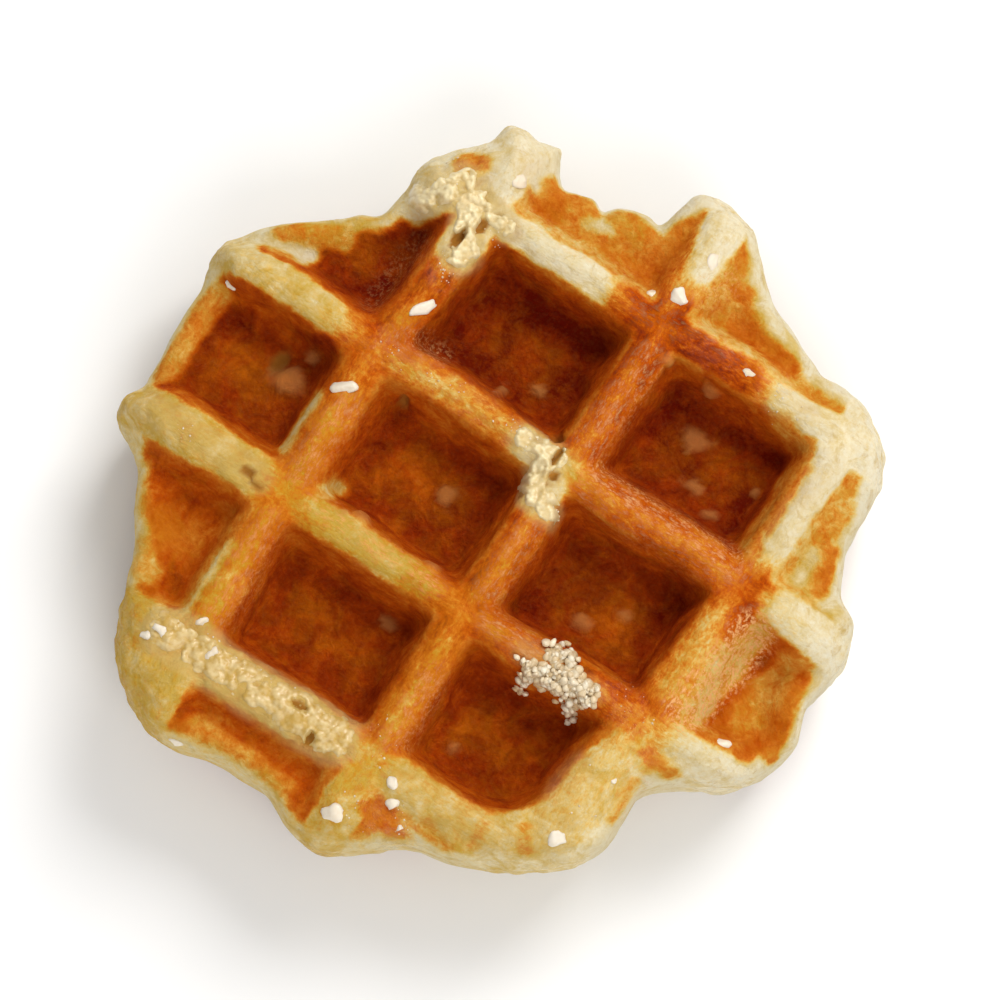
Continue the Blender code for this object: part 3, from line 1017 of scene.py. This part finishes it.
def scaled(tree, value, factor, offset=0.0, clamp=False):
    """value * factor + offset."""
    product = math_node(tree, "MULTIPLY", value, factor)
    return math_node(tree, "ADD", product, offset, clamp)


def attribute_node(tree, name):
    return add_node(tree, "ShaderNodeAttribute", attribute_name=name).outputs["Fac"]


def noise_node(tree, scale, detail=4.0, roughness=0.6, stretch=None, distortion=0.0):
    """Noise in the object's own space, with its scale in lumps per metre."""
    place = add_node(tree, "ShaderNodeTexCoord").outputs["Object"]
    if stretch:
        mapping = add_node(tree, "ShaderNodeMapping")
        mapping.inputs["Scale"].default_value = stretch
        tree.links.new(place, mapping.inputs["Vector"])
        place = mapping.outputs["Vector"]
    noise = add_node(tree, "ShaderNodeTexNoise")
    noise.inputs["Scale"].default_value = scale
    noise.inputs["Detail"].default_value = detail
    noise.inputs["Roughness"].default_value = roughness
    noise.inputs["Distortion"].default_value = distortion
    tree.links.new(place, noise.inputs["Vector"])
    return noise.outputs["Fac"]


def mix_colours(tree, share, first, second, blend="MIX"):
    """A colour mix whose inputs are sockets or plain colours, and its output socket."""
    node = add_node(tree, "ShaderNodeMix", data_type="RGBA", blend_type=blend)
    for socket, value in zip((node.inputs[0], node.inputs[6], node.inputs[7]), (share, first, second)):
        if isinstance(value, bpy.types.NodeSocket):
            tree.links.new(value, socket)
        else:
            socket.default_value = value
    return node.outputs[2]


def linear(red, green, blue):
    """A screen colour, 0 to 255, as the linear colour that a shader takes."""
    parts = [v / 255 for v in (red, green, blue)]
    return tuple(v / 12.92 if v <= 0.04045 else ((v + 0.055) / 1.055) ** 2.4 for v in parts) + (1.0,)


print("cream is", [round(v, 3) for v in linear(240, 226, 190)])

# %% The crust material
CREAM_BAKE = (  # (bake, colour on screen)
    (0.00, (238, 227, 198)),
    (0.12, (232, 213, 164)),
    (0.24, (232, 196, 112)),
    (0.36, (226, 162, 64)),
    (0.48, (216, 124, 32)),
    (0.62, (196, 84, 4)),
    (0.78, (160, 55, 1)),
    (1.00, (108, 16, 0)),
)
# The yellow side's colours, darker than the cream ones: eggier dough, and partly painted shade on the side
# away from the light. The golden floors take them too.
STRAW_AND_SHADE_BAKE = (
    (0.00, (224, 196, 124)),
    (0.12, (208, 174, 84)),
    (0.24, (206, 162, 58)),
    (0.36, (206, 142, 34)),
    (0.48, (208, 120, 24)),
    (0.62, (194, 98, 8)),
    (0.78, (162, 76, 3)),
    (1.00, (112, 26, 0)),
)
DRY_TAN_AND_SHEEN = (244, 182, 118)
DOUGH_SHADE = (196, 158, 66)
CRUMB = (214, 184, 120)
CREVICE_SHADE = (172, 116, 44)
SUNK_PEARL = (206, 140, 76)


def colour_ramp(tree, share, stops):
    ramp = add_node(tree, "ShaderNodeValToRGB")
    elements = ramp.color_ramp.elements
    while len(elements) < len(stops):
        elements.new(0.5)
    for element, (place, colour) in zip(elements, stops):
        element.position = place
        element.color = linear(*colour)
    tree.links.new(share, ramp.inputs["Fac"])
    return ramp.outputs["Color"]


def streaks(tree, scale, detail):
    """Noise drawn out along each rib, from the two directions that ribs run in, and plain off them."""
    across = noise_node(tree, scale, detail, 0.75, stretch=(0.4, 1.0, 1.0))
    along = noise_node(tree, scale, detail, 0.75, stretch=(1.0, 0.4, 1.0))
    share = attribute_node(tree, "along_x")
    kept = math_node(tree, "MULTIPLY", across, share)
    other = math_node(tree, "MULTIPLY", along, math_node(tree, "SUBTRACT", 1.0, share))
    ribs = math_node(tree, "MULTIPLY", math_node(tree, "ADD", kept, other), attribute_node(tree, "crest"))
    off_crest = scaled(tree, attribute_node(tree, "crest"), -1.0, 1.0)
    plain = math_node(tree, "MULTIPLY", noise_node(tree, scale, detail, 0.7), off_crest)
    return math_node(tree, "ADD", ribs, plain)


def crust_colour(tree, fibres, speckle):
    blotches = scaled(tree, noise_node(tree, 330, 6.0, 0.66, distortion=0.5), 0.70, -0.36)
    freckles = scaled(tree, noise_node(tree, 120, 3.0, 0.5), 0.30, -0.15)
    grown = scaled(tree, attribute_node(tree, "bake"), 1.15, 0.16, clamp=True)
    baked = math_node(tree, "ADD", attribute_node(tree, "bake"), scaled(tree, speckle, 0.20, -0.10))
    baked = math_node(tree, "ADD", baked, math_node(tree, "MULTIPLY", blotches, grown))
    baked = math_node(tree, "ADD", baked, math_node(tree, "MULTIPLY", freckles, grown))
    skin = math_node(tree, "MULTIPLY", scaled(tree, fibres, 1.2, -0.6), attribute_node(tree, "crest"))
    baked = math_node(tree, "ADD", baked, math_node(tree, "MULTIPLY", skin, grown))
    bake_here = attribute_node(tree, "bake")
    past_pale = scaled(tree, bake_here, 4.0, -0.4, clamp=True)
    before_dark = scaled(tree, bake_here, -4.0, 2.5, clamp=True)
    golden = math_node(tree, "MULTIPLY", past_pale, before_dark)
    crinkle = scaled(tree, noise_node(tree, 620, 5.0, 0.7, distortion=0.6), 0.76, -0.38)
    baked = math_node(tree, "ADD", baked, math_node(tree, "MULTIPLY", crinkle, golden))
    cream = colour_ramp(tree, baked, CREAM_BAKE)
    straw_and_shade = colour_ramp(tree, baked, STRAW_AND_SHADE_BAKE)
    butter = scaled(tree, noise_node(tree, 240, 5.0, 0.65, distortion=0.8), 3.6, -1.8)
    # the yellow side and the golden floors take the darker straw colours, partly as painted shade
    eggy = math_node(tree, "ADD", attribute_node(tree, "yellow_and_shade"), butter, True)
    colour = mix_colours(tree, eggy, cream, straw_and_shade)
    olive = scaled(tree, noise_node(tree, 420, 6.0, 0.7, distortion=0.8), 5.0, -2.7, clamp=True)
    olive = math_node(tree, "MULTIPLY", olive, scaled(tree, baked, -3.0, 1.15, clamp=True))
    colour = mix_colours(tree, scaled(tree, olive, 0.75), colour, linear(*DOUGH_SHADE))
    # pale tan streaks: dry skin, and a painted sheen where walls and rib sides face the light
    dry_and_sheen = scaled(tree, fibres, 6.0, -2.9, clamp=True)
    dry_and_sheen = math_node(tree, "MULTIPLY", dry_and_sheen, scaled(tree, attribute_node(tree, "dry_and_sheen"), 0.62, 0.03))
    colour = mix_colours(tree, dry_and_sheen, colour, linear(*DRY_TAN_AND_SHEEN))
    colour = mix_colours(tree, scaled(tree, attribute_node(tree, "torn"), 0.6), colour, linear(*CRUMB))
    # painted shade in pits and cracks
    crevice_shade = scaled(tree, attribute_node(tree, "pit"), 0.8, 0.0, clamp=True)
    colour = mix_colours(tree, crevice_shade, colour, linear(*CREVICE_SHADE))
    return mix_colours(tree, scaled(tree, attribute_node(tree, "sunk"), 0.5), colour, linear(*SUNK_PEARL))


def crust_material():
    material, tree, shader = new_material("baked_crust")
    links = tree.links
    speckle = noise_node(tree, 1700, 3.0, 0.6)
    fibres = streaks(tree, 1800, 7.0)
    links.new(crust_colour(tree, fibres, speckle), shader.inputs["Base Color"])
    wet_spots = scaled(tree, noise_node(tree, 700, 3.0, 0.6), 6.0, -2.5, clamp=True)
    wet = math_node(tree, "MULTIPLY", wet_spots, attribute_node(tree, "glaze"))
    links.new(scaled(tree, speckle, 0.25, 0.58), shader.inputs["Roughness"])
    links.new(wet, shader.inputs["Coat Weight"])
    bump = add_node(tree, "ShaderNodeBump")
    bump.inputs["Strength"].default_value = 0.85
    bump.inputs["Distance"].default_value = 0.0004
    grain = math_node(tree, "ADD", scaled(tree, fibres, 1.3), noise_node(tree, 900, 7.0, 0.78))
    links.new(grain, bump.inputs["Height"])
    links.new(bump.outputs["Normal"], shader.inputs["Normal"])
    links.new(bump.outputs["Normal"], shader.inputs["Coat Normal"])
    shader.inputs["Coat Roughness"].default_value = 0.12
    shader.inputs["Subsurface Weight"].default_value = 0.06
    shader.inputs["Subsurface Radius"].default_value = (1.0, 0.8, 0.5)
    shader.inputs["Subsurface Scale"].default_value = 0.001
    shader.inputs["Specular IOR Level"].default_value = 0.04
    return material


waffle.data.materials.append(crust_material())
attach(waffle, "root")
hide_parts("waffle")
print("crust finish on", waffle.name)

# %% [markdown]
# ## Pearl sugar, crystals and torn crumb
#
# Pearl sugar survives the iron as white nibs, and part of it melts and sets again as a heap of clear
# grains. Each grain starts as a small ball, is cut flat by a few planes and set into the crust along
# its own surface. All grains of a kind become one mesh.

# %% Grain tools
RAY_START = 30  # mm off the face, where the search for the crust begins
crust_tree = BVHTree.FromPolygons([Vector(p) for p in shaped], quads.tolist())
rng = np.random.default_rng(4)


def ball(subdivisions):
    """Points and triangles of a ball of radius 1."""
    bm = bmesh.new()
    bmesh.ops.create_icosphere(bm, subdivisions=subdivisions, radius=1.0)
    corners = np.array([v.co[:] for v in bm.verts])
    faces = np.array([[v.index for v in f.verts] for f in bm.faces])
    bm.free()
    return corners, faces


BALLS = {level: ball(level) for level in (1, 2, 3)}


def grain(radii, level, flats, roughness):
    """A grain's points: a ball cut by flats, roughened, and stretched to its radii."""
    corners = BALLS[level][0].copy()
    for _ in range(flats):
        normal = rng.normal(size=3)
        normal /= np.linalg.norm(normal)
        over = np.maximum(corners @ normal - rng.uniform(0.55, 0.85), 0)
        corners -= over[:, None] * normal
    offset = rng.uniform(0, 50, 3)
    bumps = layered_noise(*(corners + offset).T, 0.7, 501, 2)
    return corners * (1 + roughness * bumps)[:, None] * np.array(radii)


def crust_at(x, y, upper=True):
    """The point of the crust above or below a place in plan, and the way it faces."""
    start = Vector((x, y, FACE_Z + RAY_START if upper else -RAY_START))
    way = Vector((0, 0, -1 if upper else 1))
    place, normal, _, _ = crust_tree.ray_cast(start, way)
    if place is None:
        return None, None
    normal = normal if normal.dot(way) < 0 else -normal
    return np.array(place), np.array(normal)


def turned(corners, normal, degrees):
    """Turns a grain about its own upright axis, then tips that axis onto the crust's direction."""
    spin = math.radians(degrees)
    cosine, sine = math.cos(spin), math.sin(spin)
    spun = corners @ np.array([[cosine, sine, 0], [-sine, cosine, 0], [0, 0, 1]])
    tip = Vector((0, 0, 1)).rotation_difference(Vector(normal)).to_matrix()
    return spun @ np.array(tip).T


class Heap:
    """Collects grains of one kind into a single mesh."""

    def __init__(self):
        self.corners, self.faces, self.tints, self.count = [], [], [], 0

    def add(self, corners, level, tint):
        self.faces.append(BALLS[level][1] + self.count)
        self.corners.append(corners)
        self.tints.append(np.full(len(corners), tint))
        self.count += len(corners)

    def piece(self, name, material):
        mesh = bpy.data.meshes.new(name)
        places = np.concatenate(self.corners)
        places[:, 2] = np.maximum(places[:, 2], 0)
        mesh.from_pydata((places * MM).tolist(), [], np.concatenate(self.faces).tolist())
        mesh.shade_smooth()
        store(mesh, "tint", np.concatenate(self.tints))
        made = bpy.data.objects.new(name, mesh)
        made.data.materials.append(material)
        bpy.context.scene.collection.objects.link(made)
        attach(made, "root")
        print(name + ":", len(self.corners), "grains,", len(mesh.polygons), "triangles")


def set_in(heap, x, y, radii, level, flats, roughness, sink, tint, turn, upper=True, raised=0.0):
    """Sets one grain into the crust: sink is the share of its height below the surface."""
    place, normal = crust_at(x, y, upper)
    if place is None:
        return
    lifted = place + normal * (radii[2] * (1 - 2 * sink) + raised)
    heap.add(turned(grain(radii, level, flats, roughness), normal, turn) + lifted, level, tint)


# %% [markdown]
# Sugar is white because light scatters between its crystals, so the nibs take a pale, slightly
# see-through finish. The set grains are clearer and shinier. Torn crumb is plain dough and takes the
# same kind of finish, with its tint from the height of each curd: deeper in the cracks, which is
# painted shade.

# %% Finishes of the grains
def grain_material(name, pale, deep, roughness, coat, scatter, bump_scale):
    """A grainy finish between two colours, chosen by each grain's tint and a fine noise."""
    material, tree, shader = new_material(name)
    fine = noise_node(tree, bump_scale, 4.0, 0.65)
    share = math_node(tree, "ADD", attribute_node(tree, "tint"), scaled(tree, fine, 0.5, -0.25), clamp=True)
    tree.links.new(mix_colours(tree, share, linear(*pale), linear(*deep)), shader.inputs["Base Color"])
    tree.links.new(scaled(tree, fine, 0.3, roughness - 0.15), shader.inputs["Roughness"])
    bump = add_node(tree, "ShaderNodeBump")
    bump.inputs["Strength"].default_value = 0.6
    bump.inputs["Distance"].default_value = 0.0002
    tree.links.new(fine, bump.inputs["Height"])
    tree.links.new(bump.outputs["Normal"], shader.inputs["Normal"])
    shader.inputs["Coat Weight"].default_value = coat
    shader.inputs["Coat Roughness"].default_value = 0.12
    shader.inputs["Subsurface Weight"].default_value = scatter
    shader.inputs["Subsurface Radius"].default_value = (1.0, 0.95, 0.85)
    shader.inputs["Subsurface Scale"].default_value = 0.0012
    return material


FINISHES = {  # (pale colour, deep colour, roughness, coat, scatter, scale of the bumps)
    "pearl_sugar": ((230, 220, 202), (214, 184, 142), 0.5, 0.15, 0.4, 1600),
    "set_sugar": ((234, 222, 196), (202, 172, 124), 0.42, 0.3, 0.15, 2200),
    "crumb": ((228, 212, 168), (190, 152, 66), 0.45, 0.35, 0.3, 1500),
}
PEARL, CLEAR, CRUMBS = [grain_material(name, *numbers) for name, numbers in FINISHES.items()]
print("finishes:", [material.name for material in (PEARL, CLEAR, CRUMBS)])

# %% Pearl sugar nibs
NIBS = (  # (x, y, half length, half width, half height, turn in degrees, tint), on the upper face
    (-22.2, 16.0, 2.5, 0.95, 0.8, 56, 0.0),
    (-25.2, 1.8, 1.8, 1.15, 0.9, 30, 0.05),
    (5.3, 36.0, 1.6, 1.4, 1.0, 20, 0.0),
    (2.0, 34.9, 1.1, 0.7, 0.6, 40, 0.45),
    (-45.6, 5.4, 1.1, 0.65, 0.6, 10, 0.1),
    (-27.8, -38.0, 1.1, 1.2, 0.8, 70, 0.05),
    (-28.9, -39.8, 1.0, 0.8, 0.7, 20, 0.05),
    (-23.6, -34.4, 1.0, 0.8, 0.6, 35, 0.3),
    (-20.4, -37.2, 1.2, 0.9, 0.5, 80, 0.25),
    (-18.0, -49.2, 1.5, 0.8, 0.7, 5, 0.1),
    (4.6, -46.0, 1.6, 1.5, 0.9, 15, 0.08),
    (8.8, -38.2, 1.0, 0.8, 0.7, 130, 0.05),
    (10.4, -40.6, 1.2, 1.1, 0.8, 60, 0.05),
    (31.0, -32.8, 1.5, 1.2, 0.8, 120, 0.0),
    (32.9, -22.2, 0.5, 0.5, 0.4, 0, 0.1),
    (42.2, -9.9, 1.4, 0.9, 0.8, 25, 0.1),
    (18.6, 32.6, 1.4, 0.7, 0.4, 10, 0.35),
    (6.6, 42.6, 1.6, 1.0, 0.4, 100, 0.2),
    (-20.6, 37.6, 1.5, 1.1, 0.4, 30, 0.3),
    (12.8, -42.6, 0.7, 0.6, 0.5, 10, 0.1),
)
HIDDEN_NIBS = 22  # the same sugar in the lower face, at random places
HIDDEN_REACH = 44  # mm from the middle to the farthest of them


def pearl_sugar():
    heap = Heap()
    for x, y, long, wide, tall, turn, tint in NIBS:
        shape = {"level": 3, "flats": 7, "roughness": 0.32, "sink": 0.70}
        set_in(heap, x, y, (long, wide, tall), tint=tint + 0.12, turn=turn, **shape)
    for _ in range(HIDDEN_NIBS):
        bearing, reach = rng.uniform(0, 2 * math.pi), HIDDEN_REACH * math.sqrt(rng.uniform(0, 1))
        size = rng.uniform(0.6, 1.5)
        radii = (size, size * rng.uniform(0.6, 0.9), size * 0.6)
        place = (reach * math.cos(bearing), reach * math.sin(bearing))
        tint = rng.uniform(0, 0.4)
        turn = rng.uniform(0, 360)
        shape = {"level": 3, "flats": 9, "roughness": 0.32, "sink": 0.68}
        set_in(heap, *place, radii, tint=tint, turn=turn, upper=False, **shape)
    heap.piece("pearl_sugar_nibs", PEARL)


pearl_sugar()


# %% Scatter grains along strokes
def scatter(heap, strokes, sizes, level, flats, roughness, sink, tints, pile=0.0):
    """Grains along strokes of (start, end, half width, count), each of a random size."""
    for start, end, half_width, count in strokes:
        for _ in range(count):
            part = rng.uniform(0, 1)
            side = half_width * rng.normal(size=2) * 0.55
            x = start[0] + (end[0] - start[0]) * part + side[0]
            y = start[1] + (end[1] - start[1]) * part + side[1]
            size = sizes[0] + (sizes[1] - sizes[0]) * rng.uniform(0, 1) ** 1.7
            radii = size * rng.uniform(0.75, 1.15, 3)
            turn, raised = rng.uniform(0, 360), pile * rng.uniform(0, 1)
            tint = rng.uniform(*tints)
            set_in(heap, x, y, radii, level, flats, roughness, sink, tint, turn, raised=raised)


HEAPED_SUGAR = (
    ((16.6, -12.8), (19.4, -11.8), 1.1, 34),
    ((19.8, -13.6), (24.4, -14.8), 1.2, 60),
    ((15.0, -16.2), (20.4, -16.0), 1.2, 54),
    ((18.0, -14.4), (22.0, -16.4), 1.4, 30),
    ((22.4, -16.0), (23.2, -17.8), 0.8, 20),
    ((15.4, -17.8), (16.2, -18.6), 0.5, 6),
)
FINE_SUGAR = (
    ((-24.0, 9.6), (-20.5, 8.8), 1.3, 12),
    ((-17.5, 9.2), (-10.5, 9.9), 1.1, 16),
    ((-4.0, 9.6), (0.8, 8.6), 1.3, 40),
    ((-24.2, 24.0), (-21.4, 21.0), 1.1, 20),
    ((-21.0, 31.5), (-18.4, 29.0), 1.2, 18),
    ((-40.8, -14.4), (-38.4, -14.8), 0.9, 8),
    ((22.6, 33.2), (24.4, 30.0), 0.9, 16),
    ((26.4, 31.4), (28.0, 32.6), 1.0, 8),
    ((27.0, -11.8), (33.4, -13.2), 1.4, 12),
    ((28.6, -23.0), (33.0, -29.0), 2.0, 12),
    ((-22.0, -35.4), (-8.0, -36.6), 1.4, 20),
    ((3.4, -31.0), (5.6, -37.0), 1.4, 12),
    ((5.0, -42.0), (8.0, -46.0), 1.6, 14),
    ((11.0, -40.0), (13.6, -43.0), 1.2, 12),
    ((-31.0, 34.0), (-27.6, 33.0), 1.6, 14),
    ((5.2, 3.6), (7.6, 2.6), 1.2, 14),
)


def heaped_sugar():
    heap = Heap()
    deeper = {"level": 2, "flats": 5, "roughness": 0.2, "sink": 0.68, "tints": (0.7, 1.0)}
    scatter(heap, HEAPED_SUGAR, sizes=(0.6, 0.95), **deeper)
    loose = {"level": 2, "flats": 9, "roughness": 0.08, "sink": 0.4, "tints": (0.0, 0.8)}
    scatter(heap, HEAPED_SUGAR, sizes=(0.32, 0.72), pile=0.6, **loose)
    heap.piece("set_sugar_crystals", CLEAR)


def fine_sugar():
    heap = Heap()
    fine = {"level": 1, "flats": 4, "roughness": 0.2, "sink": 0.5, "tints": (0.0, 1.0)}
    scatter(heap, FINE_SUGAR, sizes=(0.06, 0.2), **fine)
    heap.piece("fine_sugar_grains", CLEAR)


heaped_sugar()
fine_sugar()

# %% [markdown]
# Torn crumb is one rough mass, not loose pieces, so each torn place gets its own small sheet. It
# follows the crust below and stands up in rounded curds of two sizes, with cracks between them. Its
# edge dips under the crust, and an underside closes it.

# %% Torn crumb
CRUMB_STEP = 0.17  # mm between a sheet's points
CRUMB_SPAN = ((-48, 36), (-43, 44))  # mm in X and in Y, round every torn place
CRUMB_KEPT = -0.12  # the sheet stops this far under the crust
CRUMB_THICKNESS = 0.9  # mm from the crust down to the sheet's hidden underside
SHEET_STRENGTH = 0.7  # weaker places have only the crust's own relief


def curd(x, y, size, seed):
    """1 at the middle of each curd, rounding down to 0 in the crack round it."""
    away = cell_noise(x, y, np.zeros_like(x), size, seed)
    return np.sqrt(np.clip(1 - (away / 0.72) ** 2, 0, 1))


def crumb_heights(x, y):
    """Height over the crust and tint, for arrays of places. The tint runs to the deep colour in cracks and
    holes, as painted shade.
    """
    most = np.zeros_like(x)
    flat = np.zeros_like(x)
    for start, end, half_width, strength in TORN:
        if strength < SHEET_STRENGTH:
            continue
        away = off_line(x, y, start, end) + 1.1 * layered_noise(x, y, flat, 2.2, 611, 3)
        most = np.maximum(most, strength * smoothstep(half_width + 0.2, 0.5 * half_width, away))
    coarse = curd(x, y, 1.5, 601)
    fine = curd(x, y, 0.62, 605)
    holes = smoothstep(0.25, 0.55, layered_noise(x, y, flat, 2.4, 621, 2))
    for middle_x, middle_y, half_x, half_y, _ in PITS:
        away = np.hypot((x - middle_x) / half_x, (y - middle_y) / half_y)
        holes = np.maximum(holes, smoothstep(1.3, 0.7, away))
    rough = layered_noise(x, y, flat, 0.9, 631, 2)
    lumps = 0.34 * coarse + 0.24 * fine * (0.5 + coarse) + 0.2 * rough - 0.8 * holes
    eggy = smoothstep(-28, -34, y)  # 1 in the front row, whose crumb is flatter and yellower
    lumps = lumps * (1 - 0.45 * eggy)
    # painted shade: the tint deepens in the cracks and holes between curds; the front row's crumb is
    # yellower
    tint = 0.74 - 0.36 * coarse - 0.34 * fine + 0.3 * holes + 0.45 * eggy
    return -0.5 + most * (0.62 + lumps), tint


def crumb_sheet():
    steps = [np.arange(low, high, CRUMB_STEP) for low, high in CRUMB_SPAN]
    x, y = (g.ravel() for g in np.meshgrid(*steps, indexing="ij"))
    over, tint = crumb_heights(x, y)
    shape = (len(steps[0]), len(steps[1]))
    numbers = np.arange(len(x)).reshape(shape)
    corners = [numbers[:-1, :-1], numbers[1:, :-1], numbers[1:, 1:], numbers[:-1, 1:]]
    corners = np.stack(corners, axis=-1).reshape(-1, 4)
    kept = corners[over[corners].max(axis=1) > CRUMB_KEPT]
    used, kept = np.unique(kept, return_inverse=True)
    kept = kept.reshape(-1, 4)
    ground = [crust_at(x[i], y[i])[0] for i in used]
    top = np.array([(x[i], y[i], g[2] + over[i]) for i, g in zip(used, ground)])
    base = top.copy()
    base[:, 2] = np.array([g[2] for g in ground]) - CRUMB_THICKNESS
    sides = np.concatenate([kept[:, [k, (k + 1) % 4]] for k in range(4)])
    _, places, counts = np.unique(np.sort(sides, axis=1), axis=0, return_index=True, return_counts=True)
    rim = sides[places[counts == 1]]
    walls = np.stack([rim[:, 1], rim[:, 0], rim[:, 0] + len(top), rim[:, 1] + len(top)], -1)
    faces = np.concatenate([kept, kept[:, ::-1] + len(top), walls])
    mesh = bpy.data.meshes.new("torn_crumb")
    mesh.from_pydata((np.concatenate([top, base]) * MM).tolist(), [], faces.tolist())
    mesh.shade_smooth()
    store(mesh, "tint", np.tile(np.clip(tint[used], 0, 1), 2))
    made = bpy.data.objects.new("torn_crumb", mesh)
    mesh.materials.append(CRUMBS)
    bpy.context.scene.collection.objects.link(made)
    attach(made, "root")
    print("torn_crumb:", 2 * len(faces), "triangles")


crumb_sheet()

# %% [markdown]
# ## The studio
#
# A pale floor, a soft light from behind and above, a larger and weaker one from the front, and a pale
# world that fills the shadows. The camera looks down from nearly overhead with a long lens, which
# keeps the grid of ribs parallel.

# %% Floor, lights and world
FLOOR_SIZE = 3.0  # metres
FLOOR_DROP = 0.2 * MM  # just under the lowest ribs
PAPER = (0.90, 0.90, 0.90, 1.0)
WORLD_STRENGTH = 0.46
CAMERA_AZIMUTH = 33.2


def pale_floor():
    bpy.ops.mesh.primitive_plane_add(size=FLOOR_SIZE, location=(0, 0, -FLOOR_DROP))
    floor = bpy.context.object
    floor.name = "studio_floor"
    material, _, shader = new_material("studio_paper")
    shader.inputs["Base Color"].default_value = PAPER
    shader.inputs["Roughness"].default_value = 0.9
    floor.data.materials.append(material)


def soft_light(name, azimuth, elevation, distance, size, power, colour):
    """A square light at a bearing round the waffle, turned to face it."""
    turn, lift_angle = math.radians(azimuth), math.radians(elevation)
    flat = math.cos(lift_angle)
    away = Vector((math.sin(turn) * flat, -math.cos(turn) * flat, math.sin(lift_angle)))
    data = bpy.data.lights.new(name, "AREA")
    data.size = size
    data.energy = power
    data.color = colour
    light = bpy.data.objects.new(name, data)
    light.location = away * distance
    light.rotation_euler = away.to_track_quat("Z", "Y").to_euler()
    bpy.context.scene.collection.objects.link(light)


pale_floor()
window = {"elevation": 48, "distance": 0.9, "size": 0.45, "power": 6.2, "colour": (1.0, 0.985, 0.96)}
soft_light("window", CAMERA_AZIMUTH + 146, **window)
fill = {"elevation": 45, "distance": 1.1, "size": 0.9, "power": 6.6, "colour": (1.0, 0.99, 0.98)}
soft_light("fill", CAMERA_AZIMUTH + 14, **fill)
world = bpy.data.worlds.new("studio")
world.use_nodes = True
world.node_tree.nodes["Background"].inputs["Color"].default_value = (1.0, 1.0, 1.0, 1.0)
world.node_tree.nodes["Background"].inputs["Strength"].default_value = WORLD_STRENGTH
bpy.context.scene.world = world
bpy.context.scene.view_settings.view_transform = "Standard"

# %% Camera
CAMERA_ELEVATION = 83.0
LENS = 200  # mm
PICTURE_WIDTH = 133.7 * MM  # what the picture spans at the waffle's middle height
AIM = Vector((-1.5 * MM, 3.2 * MM, 0.0))


def set_camera():
    data = bpy.data.cameras.new("camera")
    data.lens = LENS
    data.clip_start = 0.01
    turn, lift = math.radians(CAMERA_AZIMUTH), math.radians(CAMERA_ELEVATION)
    back = Vector((math.sin(turn) * math.cos(lift), -math.cos(turn) * math.cos(lift), math.sin(lift)))
    distance = PICTURE_WIDTH * data.lens / data.sensor_width + MIDDLE_Z * MM
    camera = bpy.data.objects.new("camera", data)
    camera.location = AIM + back * distance
    camera.rotation_euler = back.to_track_quat("Z", "Y").to_euler()
    bpy.context.scene.collection.objects.link(camera)
    bpy.context.scene.camera = camera
    return distance


print("camera distance in metres:", round(set_camera(), 3))
